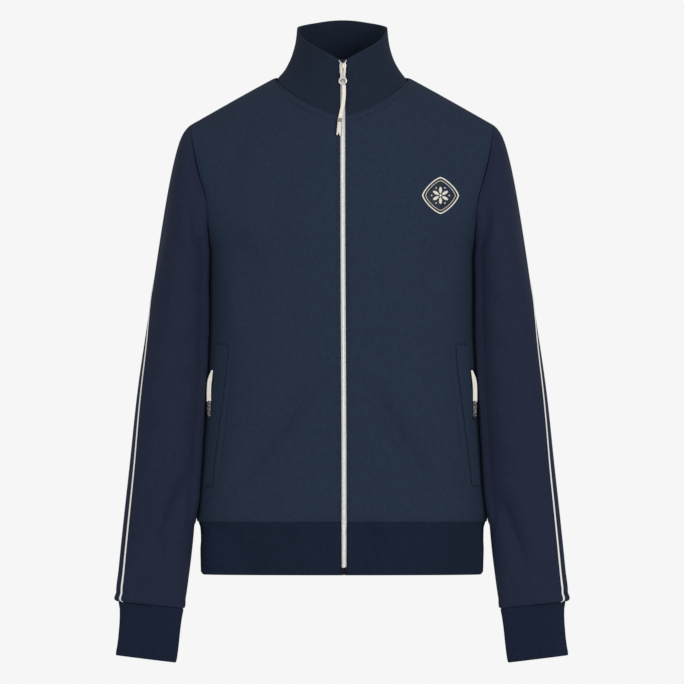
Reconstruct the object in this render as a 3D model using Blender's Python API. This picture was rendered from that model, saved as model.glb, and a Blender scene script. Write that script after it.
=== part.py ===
"""Zip-up sweatshirt with a stand collar, filled out as when it is worn, with nobody in it.

Metres in the mesh, millimetres in the tables. +Z is up, the front faces -Y and +X is the
wearer's left. The origin lies midway between the two points where shoulder meets neck.
Every panel is a wall of cloth worked out on a grid, and panels stop a seam gap apart.
"""
import math
from collections import namedtuple

import bmesh
import bpy
from mathutils import Vector

MM = 0.001

# ---------------------------------------------------------------- driving dimensions, mm
CLOTH = 1.8
COLLAR_CLOTH = 2.6
RIB_CLOTH = 3.0
SEAM_GAP = 0.3

ZIP_X = 1.0
ZIP_OPENING = 8.0
ZIP_MARGIN = 9.0
TAPE_THICKNESS = 0.9
CHAIN_WIDTH = 6.4
CHAIN_THICKNESS = 2.2

BODY_BOTTOM = -578.0
HEM_ROLL_TOP = -569.0
UNDERARM = -224.0
UNDERARM_EASE = 10.0
HEM_BOTTOM = -645.0
HEM_ROWS = (HEM_BOTTOM, -641.0, -612.0, -592.0, -584.0, BODY_BOTTOM - SEAM_GAP)

NECK_HALF = 88.0
NECK_FRONT_DROP = 51.0
NECK_BACK_RISE = 6.0
NECK_FRONT_CURVE = 1.3
SHOULDER_HALF = 197.0
SHOULDER_SLOPE = 0.585
RIDGE_ROUNDING = 40.0
FRONT_ROLL = 300.0
BACK_ROLL = 170.0
SECTION_POWER = 2.35

RIM_HALF = 59.5
RIM_FRONT = 66.0
RIM_BACK = 50.0
RIM_SIDE_Z = 62.0
RIM_BACK_Z = 73.5
RIM_FRONT_Z = 20.8
RIM_FRONT_EDGE_Z = 49.4
RIM_FRONT_EDGE_SHARE = 0.92
RIM_RISE_FROM = math.radians(62)
COLLAR_FLARE = 2.3

SLEEVE_POWER = 2.2
SLEEVE_CLEARANCE = 2.0
FOLD_RADIUS = 1.0
PIPING_WIDTH = 2.8
PIPING_HEIGHT = 1.2
PIPING_FORM = (0.45, 1.0, 0.45)
PIPING_FROM_ROW = 5

SIDE_ROWS = 13
ARM_ROWS = 10
ARMHOLE_STEPS = 60
TOP_EDGE_FADE = 1.4
SHOULDER_COLUMNS = 7
NECK_FRONT_X = (13.0, 31.0, 49.0, 65.0, 78.5)
NECK_BACK_X = (0.0, 19.0, 38.0, 56.0, 73.0)
COLLAR_LEVELS = (0.0, 0.08, 0.22, 0.42, 0.7, 1.0)

NAVY = (0.019, 0.031, 0.054)
NAVY_SLEEVE = (0.018, 0.025, 0.047)
NAVY_RIB = (0.009, 0.014, 0.028)
CREAM = (0.75, 0.72, 0.62)
WHITE = (0.82, 0.82, 0.80)
METAL = (0.80, 0.79, 0.77)

TorsoRow = namedtuple("TorsoRow", "z half_width front back")
TORSO = (
    TorsoRow(HEM_BOTTOM, 183.5, 88, 86),
    TorsoRow(-641, 185.5, 90, 88),
    TorsoRow(-612, 186, 91, 89),
    TorsoRow(-584, 185, 91, 89),
    TorsoRow(BODY_BOTTOM, 188, 93, 91),
    TorsoRow(-569, 191, 97, 95),
    TorsoRow(-536, 189, 99, 96),
    TorsoRow(-471, 185.5, 102, 97),
    TorsoRow(-419, 182.5, 104, 98),
    TorsoRow(-354, 179.5, 108, 99),
    TorsoRow(-289, 177.5, 114, 102),
    TorsoRow(-236, 178.5, 118, 106),
    TorsoRow(UNDERARM, 180, 118, 107),
    TorsoRow(-205, 190, 118, 108),
    TorsoRow(-180, 208, 118, 108),
    TorsoRow(-150, 224, 118, 108),
    TorsoRow(-110, 234, 118, 108),
    TorsoRow(-60, 236, 118, 108),
    TorsoRow(80, 236, 118, 108),
)

ArmholeRow = namedtuple("ArmholeRow", "x z")
ARMHOLE_FRONT = (
    ArmholeRow(180, UNDERARM),
    ArmholeRow(178.5, -214),
    ArmholeRow(174.5, -202),
    ArmholeRow(173, -186),
    ArmholeRow(176, -161),
    ArmholeRow(185.5, -130),
    ArmholeRow(193, -96),
    ArmholeRow(SHOULDER_HALF, -61),
)
ARMHOLE_BACK = (
    ArmholeRow(180, UNDERARM),
    ArmholeRow(180, -213),
    ArmholeRow(178, -200),
    ArmholeRow(178, -182),
    ArmholeRow(182, -155),
    ArmholeRow(189, -124),
    ArmholeRow(195, -92),
    ArmholeRow(SHOULDER_HALF, -61),
)

# Each row is one ring of the sleeve or cuff: its outermost and innermost points seen from the
# front, the middle of its depth, half its depth, how far the outer seam is turned to the front,
# and how much it still keeps of the armhole's own outline.
SleeveRow = namedtuple("SleeveRow", "out_x out_z in_x in_z mid_y half_depth seam_turn armhole_share")
SLEEVE = (
    SleeveRow(197, -61, 180, -224, -1, 60, 0, 1.0),
    SleeveRow(205, -68.5, 178, -232, -2, 62, 0, 0.75),
    SleeveRow(211.5, -82, 176, -243, -3, 63, 0, 0.5),
    SleeveRow(217.5, -104, 175, -257, -5, 64, -2, 0.3),
    SleeveRow(224, -133, 174.3, -275, -8, 64, -5, 0.12),
    SleeveRow(233, -185, 174, -309, -12, 63, -7, 0),
    SleeveRow(240.5, -237, 174.5, -341, -15, 61, -3, 0),
    SleeveRow(249.6, -289, 176, -373, -17, 58, 14, 0),
    SleeveRow(257, -341, 178, -407, -19, 55, 27, 0),
    SleeveRow(265, -393, 181, -446, -20, 51, 29.5, 0),
    SleeveRow(271, -445, 184, -488, -21, 47, 31, 0),
    SleeveRow(276, -497, 186.5, -530, -22, 43, 33, 0),
    SleeveRow(282, -549, 190, -570, -22, 38, 33.5, 0),
    SleeveRow(287.5, -601, 194, -613, -22, 32, 33.5, 0),
    SleeveRow(291.5, -641, 199, -650, -21, 27, 33.5, 0),
    SleeveRow(294, -670, 202.5, -678, -20, 23, 34, 0),
    SleeveRow(291, -682, 205, -691, -20, 18, 36, 0),
)
CUFF = (
    SleeveRow(291, -682.4, 205, -691.4, -20, 18, 0, 0),
    SleeveRow(288.7, -688, 207, -698, -20, 16.5, 0, 0),
    SleeveRow(288.6, -704, 209.5, -714, -20, 15, 0, 0),
    SleeveRow(291, -732, 212.5, -742, -20, 13.5, 0, 0),
    SleeveRow(294, -748, 215, -758, -20, 12.5, 0, 0),
)
CUFF_COLUMNS = 20

# The welt's two long edges, seen from the front.
WeltRow = namedtuple("WeltRow", "z front_x back_x")
WELT = (
    WeltRow(-529, 168, 178),
    WeltRow(-493, 164.5, 175),
    WeltRow(-458, 160, 172),
    WeltRow(-424, 155.5, 169),
    WeltRow(-385, 150.5, 166),
    WeltRow(-347, 147, 163),
)
WELT_ROWS = 12
WELT_COLUMNS = 4
WELT_LIFT = 0.4
WELT_THICKNESS = 1.0

# The pull hangs from the slider's bridge. Heights are along the front edge's height, mm.
SLIDER_TOP = 19.0
SLIDER_BOTTOM = 4.0
SLIDER_WIDTH = 8.8
SLIDER_THICKNESS = 1.6
BRIDGE_WIDTH = 2.6
BRIDGE_THICKNESS = 1.0
BRIDGE_SINK = 0.6
BRIDGE_STEPS = 6
PIVOT_Z = 13.5
PIVOT_RADIUS = 0.8
PULL_LENGTH = 24.0
PULL_WIDTH = 7.0
PULL_THICKNESS = 1.5
PIVOT_PLAY = 0.35
SLOT_LENGTH = 3.4
SLOT_PLAY = 0.4
RING_OUTER = 5.4
RING_NECK_UP = 3.9
RING_NECK_HALF = 3.7
RING_HOLE = 3.4
RING_HOLE_TALL = 2.65
RING_STEPS = 16
BOX_TOP = -636.0
BOX_BOTTOM = -643.5
BOX_WIDTH = 7.4
BOX_THICKNESS = 3.2
BOX_RISE = 0.6
CHAIN_TOP = 17.0

CORD_DIAMETER = 4.8
CordRow = namedtuple("CordRow", "x z lift")
PULL_CORD = (
    CordRow(2.4, -11.3, 4.6),
    CordRow(2.6, -18, 4.2),
    CordRow(2.4, -27, 3.8),
    CordRow(1.4, -36, 3.6),
    CordRow(-0.6, -46, 3.5),
    CordRow(-2.8, -56, 3.5),
)
PULL_END_BOTTOM = CordRow(-4.4, -78, 3.6)
POCKET_CORD = (
    CordRow(164.5, -379, 4.3),
    CordRow(166.5, -387, 4.6),
    CordRow(168.0, -396, 4.8),
    CordRow(168.6, -404, 4.7),
    CordRow(168.9, -412, 4.5),
    CordRow(169.0, -420, 4.3),
)
POCKET_END_BOTTOM = CordRow(169.2, -443, 3.6)
END_WIDTH = 6.0
END_THICKNESS = 3.2
END_CORNER = 0.6
# Share of the length, of the width and of the thickness.
END_STATIONS = ((0.0, 0.86, 1.0), (0.12, 1.0, 1.0), (0.22, 0.9, 0.85), (0.85, 0.94, 0.8),
                (1.0, 0.84, 0.7))


# ---------------------------------------------------------------- curves through table rows
def hermite(knots, values, at):
    """Value at a place on the smooth curve through the knots, level with its neighbours."""
    if at <= knots[0]:
        return values[0]
    if at >= knots[-1]:
        return values[-1]
    k = max(i for i in range(len(knots) - 1) if knots[i] <= at)

    def slope(i):
        if i == 0 or i == len(knots) - 1:
            a, b = (0, 1) if i == 0 else (-2, -1)
            return (values[b] - values[a]) / (knots[b] - knots[a])
        before = (values[i] - values[i - 1]) / (knots[i] - knots[i - 1])
        after = (values[i + 1] - values[i]) / (knots[i + 1] - knots[i])
        if before * after <= 0:
            return 0.0
        return 2 * before * after / (before + after)

    span = knots[k + 1] - knots[k]
    t = (at - knots[k]) / span
    return ((2 * t**3 - 3 * t**2 + 1) * values[k] + (t**3 - 2 * t**2 + t) * span * slope(k)
            + (3 * t**2 - 2 * t**3) * values[k + 1] + (t**3 - t**2) * span * slope(k + 1))


def column_at(table, key, value, at):
    """A table's column read at a place between its rows."""
    return hermite([getattr(row, key) for row in table], [getattr(row, value) for row in table], at)


def resample(points, distances):
    """Points of a smooth curve at given shares of its length."""
    run = [0.0]
    for a, b in zip(points, points[1:]):
        run.append(run[-1] + (b - a).length)
    return [Vector([hermite(run, [p[axis] for p in points], share * run[-1]) for axis in range(3)])
            for share in distances]


# ---------------------------------------------------------------- the torso's surface
def ridge(x):
    """Height of the shoulder line over a place across the body."""
    at_neck = math.hypot(NECK_HALF, RIDGE_ROUNDING)
    return (at_neck - math.hypot(x, RIDGE_ROUNDING)) * SHOULDER_SLOPE


def half_width(z):
    return column_at(TORSO, "z", "half_width", z)


def turn_at(x, z):
    """The section angle, from the middle of the front or back, that lies at x."""
    return math.asin(min(1.0, (x / half_width(z)) ** (SECTION_POWER / 2)))


def torso_point(turn, z, face):
    """A point of the torso: face is -1 for the front and 1 for the back."""
    x = half_width(z) * math.sin(turn) ** (2 / SECTION_POWER)
    depth = column_at(TORSO, "z", "front" if face < 0 else "back", z)
    roll = FRONT_ROLL if face < 0 else BACK_ROLL
    share = min(1.0, max(0.0, (ridge(x) - z) / roll))
    fullness = math.sqrt(1 - (1 - share) ** 2)
    flank = max(0.0, math.cos(turn)) ** (2 / SECTION_POWER)
    return Vector((x, face * depth * flank * fullness, z))


def torso_normal(turn, z, face):
    """Outward direction there, found from steps along the surface."""
    x = half_width(z) * math.sin(turn) ** (2 / SECTION_POWER)
    roll = FRONT_ROLL if face < 0 else BACK_ROLL
    share = max(0.0, (ridge(x) - z) / roll)
    if share < 0.35 and x < 0.97 * half_width(z):
        root = math.sqrt(share)
        step = 0.002

        def at(across, down):
            height = ridge(across) - roll * down**2
            return torso_point(turn_at(across, height), height, face)

        low = max(root - step, 0.0)
        along = at(x + 0.3, root) - at(max(x - 0.3, 0.01), root)
        fall = at(x, low + 2 * step) - at(x, low)
    else:
        step = 0.004
        low = min(turn, math.pi / 2 - step) - step
        low = max(low, 0.0005)
        along = torso_point(low + 2 * step, z, face) - torso_point(low, z, face)
        fall = torso_point(turn, z - 0.3, face) - torso_point(turn, z + 0.3, face)
    normal = along.cross(fall)
    if normal.y * face < 0 or (abs(normal.y) < 1e-9 and normal.x < 0):
        normal.negate()
    if turn > math.pi / 2 - 1e-6:
        normal = Vector((abs(normal.x), 0, normal.z if normal.x > 0 else -normal.z))
    return normal.normalized()


# ---------------------------------------------------------------- a body panel's grid
def coons(left, right, bottom, top):
    """A grid of (turn, z) pairs between four edges with the same corners.

    The rows below the underarm stay level, and only those above take up the top edge's form.
    """
    columns, rows = len(bottom) - 1, len(left) - 1
    grid = []
    for i in range(columns + 1):
        u = (bottom[i][0] - bottom[0][0]) / (bottom[-1][0] - bottom[0][0])
        line = []
        for j in range(rows + 1):
            v = max(0.0, (j - SIDE_ROWS) / (rows - SIDE_ROWS)) ** TOP_EDGE_FADE
            pair = []
            for axis in range(2):
                sides = (1 - u) * left[j][axis] + u * right[j][axis]
                ends = (1 - v) * bottom[i][axis] + v * top[i][axis]
                corners = ((1 - u) * ((1 - v) * bottom[0][axis] + v * top[0][axis])
                           + u * ((1 - v) * bottom[-1][axis] + v * top[-1][axis]))
                pair.append(sides + ends - corners)
            line.append(pair)
        grid.append(line)
    return grid


def row_heights():
    """Heights of the rows below the underarm: a short one at the hem, where the cloth rolls."""
    rest = [HEM_ROLL_TOP + (UNDERARM - HEM_ROLL_TOP) * k / (SIDE_ROWS - 1)
            for k in range(SIDE_ROWS)]
    return [BODY_BOTTOM] + rest


def body_panel(face):
    """Outer points and outward directions of half a front or back, from middle to side."""
    front = face < 0
    neck_x = NECK_FRONT_X if front else NECK_BACK_X
    middle_x = [ZIP_OPENING / 2] if front else []
    across = middle_x + list(neck_x) + [NECK_HALF]
    across += [NECK_HALF + (SHOULDER_HALF - NECK_HALF) * k / SHOULDER_COLUMNS
               for k in range(1, SHOULDER_COLUMNS + 1)]
    top = []
    for x in across:
        if x > NECK_HALF:
            z = ridge(x)
        elif front:
            z = -NECK_FRONT_DROP * (1 - (x / NECK_HALF) ** NECK_FRONT_CURVE) ** (1 / NECK_FRONT_CURVE)
        else:
            z = NECK_BACK_RISE * (1 - (x / NECK_HALF) ** 2)
        top.append((turn_at(x, z), z))

    columns = len(across) - 1
    straight = across[:2] if front else across[:1]
    start = turn_at(straight[-1], BODY_BOTTOM)
    steps = columns - len(straight) + 1
    bottom = [(turn_at(x, BODY_BOTTOM), BODY_BOTTOM) for x in straight]
    bottom += [(start + (math.pi / 2 - start) * k / steps, BODY_BOTTOM) for k in range(1, steps + 1)]

    table = ARMHOLE_FRONT if front else ARMHOLE_BACK
    flat = [Vector((row.x, 0, row.z)) for row in table]
    traced = [torso_point(turn_at(p.x, p.z), p.z, face)
              for p in resample(flat, [k / ARMHOLE_STEPS for k in range(ARMHOLE_STEPS + 1)])]
    shares = [k / ARM_ROWS for k in range(1, ARM_ROWS + 1)]
    if front:
        length = sum((b - a).length for a, b in zip(traced, traced[1:]))
        seam = 1 - PIPING_WIDTH / length
        shares = [seam * k / ARM_ROWS for k in range(1, ARM_ROWS + 1)] + [1.0]
    armhole = resample(traced, shares)
    right = [(math.pi / 2, z) for z in row_heights()]
    right += [(turn_at(p.x, p.z), p.z) for p in armhole[:-1]] + [top[-1]]
    left = [(turn_at(across[0], z), z) for z in row_heights()]
    for share in shares:
        z = UNDERARM + (top[0][1] - UNDERARM) * share
        left.append((turn_at(across[0], z), z))

    grid = coons(left, right, bottom, top)
    points, normals = [], []
    for line in grid:
        spots = []
        for turn, z in line:
            spot = torso_point(turn, z, face)
            spot.y = face * max(abs(spot.y), SEAM_GAP / 2)
            spots.append(spot)
        points.append(spots)
        normals.append([torso_normal(turn, z, face) for turn, z in line])
    return points, normals


# ---------------------------------------------------------------- building solids
def material(name, colour, roughness, metallic=0.0):
    made = bpy.data.materials.new(name)
    made.use_nodes = True
    shader = made.node_tree.nodes["Principled BSDF"]
    shader.inputs["Base Color"].default_value = (*colour, 1.0)
    shader.inputs["Roughness"].default_value = roughness
    shader.inputs["Metallic"].default_value = metallic
    return made


def add_object(name, bm, colour, roughness, metallic=0.0, parent=None):
    """Turns a mesh in millimetres into a named object in metres."""
    bmesh.ops.recalc_face_normals(bm, faces=bm.faces)
    bmesh.ops.scale(bm, vec=(MM, MM, MM), verts=bm.verts)
    mesh = bpy.data.meshes.new(name)
    bm.to_mesh(mesh)
    bm.free()
    mesh.shade_smooth()
    mesh.set_sharp_from_angle(angle=math.radians(40))
    mesh.materials.append(material(name, colour, roughness, metallic))
    piece = bpy.data.objects.new(name, mesh)
    bpy.context.collection.objects.link(piece)
    if parent:
        piece.parent = parent
        piece.matrix_parent_inverse = parent.matrix_world.inverted()
    return piece


def wall_mesh(outer, inner, closed=False):
    """A wall between two grids of points. A closed wall joins its last column to its first."""
    bm = bmesh.new()
    sheets = [[[bm.verts.new(p) for p in line] for line in grid] for grid in (outer, inner)]
    columns, rows = len(outer), len(outer[0])
    spans = columns if closed else columns - 1
    for i in range(spans):
        k = (i + 1) % columns
        for j in range(rows - 1):
            for sheet in sheets:
                bm.faces.new((sheet[i][j], sheet[k][j], sheet[k][j + 1], sheet[i][j + 1]))
        for j in (0, rows - 1):
            bm.faces.new((sheets[0][i][j], sheets[0][k][j], sheets[1][k][j], sheets[1][i][j]))
    if not closed:
        for i in (0, columns - 1):
            for j in range(rows - 1):
                bm.faces.new((sheets[0][i][j], sheets[0][i][j + 1],
                              sheets[1][i][j + 1], sheets[1][i][j]))
    return bm


def mirrored(grid):
    return [[Vector((-p.x, p.y, p.z)) for p in line] for line in grid]


def moved(points, normals, distance):
    return [[p + n * distance for p, n in zip(line, turned)] for line, turned in zip(points, normals)]


def grid_normals(points, closed):
    """Directions square to a grid of points, which the columns go round and the rows go along."""
    columns, rows = len(points), len(points[0])

    def slope(before, here, after):
        if before is None:
            return (after - here).normalized()
        if after is None:
            return (here - before).normalized()
        near, far = (here - before).length, (after - here).length
        return ((here - before) / near * far + (after - here) / far * near).normalized()

    normals = []
    for i in range(columns):
        line = []
        for j in range(rows):
            before = points[i - 1][j] if closed or i > 0 else None
            after = points[(i + 1) % columns][j] if closed or i < columns - 1 else None
            below = points[i][j - 1] if j > 0 else None
            above = points[i][j + 1] if j < rows - 1 else None
            line.append(slope(before, points[i][j], after).cross(
                slope(below, points[i][j], above)).normalized())
        normals.append(line)
    return normals


# ---------------------------------------------------------------- the pieces
def build_body(front, back):
    """The two fronts and the back, cut wide of the zip's centre line."""
    points, normals = front
    inner = moved(points, normals, -CLOTH)
    for name, flip in (("front_left", False), ("front_right", True)):
        sides = (mirrored(points), mirrored(inner)) if flip else (points, inner)
        add_object(name, wall_mesh(*[shifted(grid) for grid in sides]), NAVY, 0.9)

    points, normals = back
    inner = moved(points, normals, -CLOTH)
    both = [mirrored(grid)[:0:-1] + grid for grid in (points, inner)]
    add_object("back", wall_mesh(*both), NAVY, 0.9)


def zip_shift(point):
    """How far the zip's centre line pulls the cloth beside it to the wearer's left."""
    return ZIP_X * max(0.0, 1 - abs(point.x) / NECK_HALF)


def shifted(grid):
    return [[p + Vector((zip_shift(p), 0, 0)) for p in line] for line in grid]


def section_point(row, turn):
    """A point of a sleeve ring: turn is 0 at the outer arm and grows round the front."""
    out = Vector((row.out_x, 0, row.out_z))
    inn = Vector((row.in_x, 0, row.in_z))
    power = 2 / SLEEVE_POWER
    along = math.copysign(abs(math.cos(turn)) ** power, math.cos(turn))
    across = math.copysign(abs(math.sin(turn)) ** power, math.sin(turn))
    middle = (out + inn) / 2 + Vector((0, row.mid_y, 0))
    return middle + (out - inn) / 2 * along + Vector((0, -row.half_depth * across, 0))


def into_ring(point, anchor, row):
    """A wall's inner point, brought into the flat plane of its own ring's end."""
    across = Vector((row.out_x - row.in_x, 0, row.out_z - row.in_z))
    square = across.cross(Vector((0, 1, 0))).normalized()
    return point - square * (point - anchor).dot(square)


def ring_turns(row):
    """Section angles of a sleeve ring: seam, piping's edge, round to the underarm and back."""
    seam = math.radians(row.seam_turn)
    step = 0.02
    speed = (section_point(row, seam + 2 * step) - section_point(row, seam + step)).length / step
    edge = seam + PIPING_WIDTH / speed
    turns = [seam] + [edge + (math.pi - edge) * k / ARM_ROWS for k in range(ARM_ROWS + 1)]
    turns += [math.pi + (math.pi + seam) * k / ARM_ROWS for k in range(1, ARM_ROWS)]
    return turns


def clear_of_body(point):
    """Keeps a sleeve point off the torso's side."""
    if point.z > UNDERARM + UNDERARM_EASE:
        return point
    level = min(point.z, UNDERARM)
    depth = column_at(TORSO, "z", "front" if point.y < 0 else "back", level)
    share = min(1.0, abs(point.y) / depth)
    side = half_width(level) * (1 - share**SECTION_POWER) ** (1 / SECTION_POWER)
    return Vector((max(point.x, side + SLEEVE_CLEARANCE), point.y, point.z))


def armhole_edge(front, back):
    """The armhole's points, directions out of the cloth and out of its edge, seam first."""
    points, normals = front
    start = SIDE_ROWS
    ahead = [(points[-1][j], normals[-1][j]) for j in range(len(points[-1]) - 1, start - 1, -1)]
    points, normals = back
    behind = [(points[-1][j], normals[-1][j]) for j in range(start + 1, len(points[-1]) - 1)]
    loop = [(Vector((p.x, 0, p.z)) if k in (0, len(ahead) - 1) else p, n)
            for k, (p, n) in enumerate(ahead)] + behind
    edge = []
    for k, (point, normal) in enumerate(loop):
        before, after = loop[k - 1][0], loop[(k + 1) % len(loop)][0]
        near, far = (point - before).length, (after - point).length
        along = ((point - before) / near * far + (after - point) / far * near).normalized()
        outward = along.cross(normal).normalized()
        edge.append((point, normal, outward, along))
    if edge[0][2].x < 0:
        edge = [(p, n, -o, a) for p, n, o, a in edge]
    return edge


def sleeve_grid(front, back):
    """Outer and inner points of the whole sleeve: columns go round it, rows go down it."""
    edge = armhole_edge(front, back)
    base = [section_point(SLEEVE[0], turn) for turn in ring_turns(SLEEVE[0])]
    rings = []
    for row in SLEEVE[1:]:
        ring = []
        for k, turn in enumerate(ring_turns(row)):
            spot = section_point(row, turn) + (edge[k][0] - base[k]) * row.armhole_share
            ring.append(clear_of_body(spot))
        rings.append(ring)

    outer, inner, leads = [], [], []
    for k, (point, normal, outward, along) in enumerate(edge):
        start = point + outward * SEAM_GAP
        heading = rings[0][k] - start
        heading -= along * heading.dot(along)
        bend = math.atan2(heading.dot(normal), heading.dot(outward))
        reach = FOLD_RADIUS if bend > 0 else FOLD_RADIUS + CLOTH
        centre = start + normal * (FOLD_RADIUS if bend > 0 else -FOLD_RADIUS - CLOTH)
        side = -1 if bend > 0 else 1
        far = FOLD_RADIUS + CLOTH if bend > 0 else FOLD_RADIUS
        out_line, in_line = [], []
        for share in (0.0, 0.5, 1.0):
            turn = abs(bend) * share
            spoke = normal * (side * math.cos(turn)) + outward * math.sin(turn)
            out_line.append(centre + spoke * reach)
            in_line.append(centre + spoke * far)
        outer.append(out_line + [ring[k] for ring in rings])
        leads.append(in_line)
    normals = grid_normals(outer, closed=True)
    middle = sum(rings[5], Vector()) / len(rings[5])
    probe = len(leads[0]) + 5
    if (outer[0][probe] - middle).dot(normals[0][probe]) < 0:
        normals = [[-n for n in line] for line in normals]
    for k, line in enumerate(outer):
        rest = [p - n * CLOTH for p, n in zip(line[3:], normals[k][3:])]
        rest[-1] = into_ring(rest[-1], line[-1], SLEEVE[-1])
        inner.append(leads[k] + rest)
    return outer, inner, normals


def parted(grid, first, last):
    """Columns first to last of a closed grid, drawn in half a seam gap at both ends."""
    count = len(grid)
    lines = [[p.copy() for p in grid[k % count]] for k in range(first, last + 1)]
    for end, beside in ((0, 1), (-1, -2)):
        for j, p in enumerate(lines[end]):
            p += (lines[beside][j] - p).normalized() * SEAM_GAP / 2
    return lines


def build_sleeves(sleeve):
    """Front and back sleeve panels and the piping, on each side."""
    outer, inner, normals = sleeve
    under = ARM_ROWS + 1
    front = [parted(grid, 0, under) for grid in (outer, inner)]
    back = [parted(grid, under, len(outer)) for grid in (outer, inner)]
    strip = [line[PIPING_FROM_ROW:] for line in front[0][:2]]
    strip_normals = [line[PIPING_FROM_ROW:] for line in normals[:2]]
    middle_line = [(a + b) / 2 for a, b in zip(*strip)]
    middle_normals = [(a + b).normalized() for a, b in zip(*strip_normals)]
    turned = [strip_normals[0], middle_normals, strip_normals[1]]
    low = moved([strip[0], middle_line, strip[1]], turned, SEAM_GAP)
    high = [moved([line], [normal], PIPING_HEIGHT * share)[0]
            for line, normal, share in zip(low, turned, PIPING_FORM)]
    for side, flip in (("left", False), ("right", True)):
        for name, grids, colour in (("sleeve_front_", front, NAVY_SLEEVE),
                                    ("sleeve_back_", back, NAVY_SLEEVE),
                                    ("piping_", (high, low), WHITE)):
            walls = [mirrored(grid) for grid in grids] if flip else grids
            add_object(name + side, wall_mesh(*walls), colour, 0.9)


def build_cuffs():
    """Ribbed tubes at the sleeves' ends."""
    turns = [2 * math.pi * (k + 0.5) / CUFF_COLUMNS for k in range(CUFF_COLUMNS)]
    outer = [[section_point(row, turn) for row in CUFF] for turn in turns]
    normals = grid_normals(outer, closed=True)
    middle = (Vector((CUFF[2].out_x, 0, CUFF[2].out_z)) + Vector((CUFF[2].in_x, 0, CUFF[2].in_z))) / 2
    if (outer[0][2] - middle).dot(normals[0][2]) < 0:
        normals = [[-n for n in line] for line in normals]
    inner = moved(outer, normals, -RIB_CLOTH)
    for j in (0, len(CUFF) - 1):
        for k, line in enumerate(inner):
            line[j] = into_ring(line[j], outer[k][j], CUFF[j])
    for side, flip in (("left", False), ("right", True)):
        walls = [mirrored(grid) for grid in (outer, inner)] if flip else (outer, inner)
        add_object("cuff_" + side, wall_mesh(*walls, closed=True), NAVY_RIB, 0.95)


def hem_grid(front, back):
    """The rib band's points: columns run from one zip edge round the back to the other."""
    front_turns = [turn_at(line[0].x, BODY_BOTTOM) for line in front[0]]
    back_turns = [turn_at(line[0].x, BODY_BOTTOM) for line in back[0][:-1]]
    turns = [(turn, -1) for turn in front_turns] + [(turn, 1) for turn in reversed(back_turns)]
    points, normals = [], []
    for turn, face in turns:
        points.append([torso_point(turn, z, face) for z in HEM_ROWS])
        line = [torso_normal(turn, z, face) for z in HEM_ROWS]
        flat = [Vector((n.x, n.y, 0)).normalized() for n in line]
        normals.append([f if j in (0, len(line) - 1) else n
                        for j, (f, n) in enumerate(zip(flat, line))])
    return points, normals


def build_hem(hem):
    points, normals = hem
    inner = moved(points, normals, -RIB_CLOTH)
    walls = [shifted(grid) + shifted(mirrored(grid))[-2::-1] for grid in (points, inner)]
    add_object("hem_rib", wall_mesh(*walls), NAVY_RIB, 0.95)


def collar_grid(front, back):
    """The collar's points: columns run from one zip edge to the middle of the back."""
    neck_columns = len(NECK_FRONT_X) + 2
    seam = [(front[0][k][-1], front[1][k][-1]) for k in range(neck_columns)]
    seam += [(back[0][k][-1], back[1][k][-1]) for k in range(len(NECK_BACK_X) - 1, -1, -1)]
    seam[neck_columns - 1] = (Vector((NECK_HALF, 0, 0)), seam[neck_columns - 1][1])
    first_turn = math.asin(ZIP_OPENING / 2 / RIM_HALF)
    second_turn = math.asin((ZIP_OPENING / 2 + ZIP_MARGIN) / RIM_HALF)
    columns = len(seam) - 1
    points = []
    for k, (base, normal) in enumerate(seam):
        if k < neck_columns:
            share = 0 if k < 1 else (k - 1) / (neck_columns - 2)
            turn = first_turn if k == 0 else second_turn + (math.pi / 2 - second_turn) * share
        else:
            turn = math.pi / 2 * (1 + (k - neck_columns + 1) / (columns - neck_columns + 1))
        depth = RIM_FRONT if turn < math.pi / 2 else RIM_BACK
        rim_x = RIM_HALF * math.sin(turn)
        slant = (RIM_FRONT_EDGE_Z - RIM_FRONT_Z) / (RIM_HALF * RIM_FRONT_EDGE_SHARE)
        front_z = RIM_FRONT_Z + slant * rim_x
        swing = max(0.0, (turn - RIM_RISE_FROM) / (math.pi / 2 - RIM_RISE_FROM))
        if turn < math.pi / 2:
            rim_z = front_z + (RIM_SIDE_Z - front_z) * swing**2
        else:
            rim_z = RIM_SIDE_Z + (RIM_BACK_Z - RIM_SIDE_Z) * math.sin((turn - math.pi / 2)) ** 2
        rim = Vector((rim_x, -depth * math.cos(turn), rim_z))
        before = seam[max(k - 1, 0)][0]
        after = seam[min(k + 1, columns)][0]
        along = (after - before).normalized()
        outward = along.cross(normal).normalized()
        if outward.z < 0:
            outward.negate()
        foot = base + outward * SEAM_GAP
        if k == columns:
            foot.x = 0.0
            rim.x = 0.0
        line = []
        for level in COLLAR_LEVELS:
            bend = (1 - level) ** COLLAR_FLARE
            line.append(Vector((rim.x + (foot.x - rim.x) * bend, rim.y + (foot.y - rim.y) * bend,
                                foot.z + (rim.z - foot.z) * level)))
        points.append(line)
    whole = points + mirrored(points)[-2::-1]
    normals = grid_normals(whole, closed=False)
    if normals[3][3].y > 0:
        normals = [[-n for n in line] for line in normals]
    for k, line in enumerate(normals):
        seam_normal = seam[k][1] if k <= columns else seam[2 * columns - k][1]
        mirror = -1 if k > columns else 1
        line[0] = Vector((seam_normal.x * mirror, seam_normal.y, seam_normal.z))
        line[-1] = Vector((line[-1].x, line[-1].y, 0)).normalized()
    for k in (0, -1):
        normals[k] = [Vector((0, n.y, n.z)).normalized() for n in normals[k]]
    return whole, normals


def build_collar(collar):
    points, normals = collar
    walls = [shifted(grid) for grid in (points, moved(points, normals, -COLLAR_CLOTH))]
    add_object("collar", wall_mesh(*walls), NAVY, 0.9)


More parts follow.
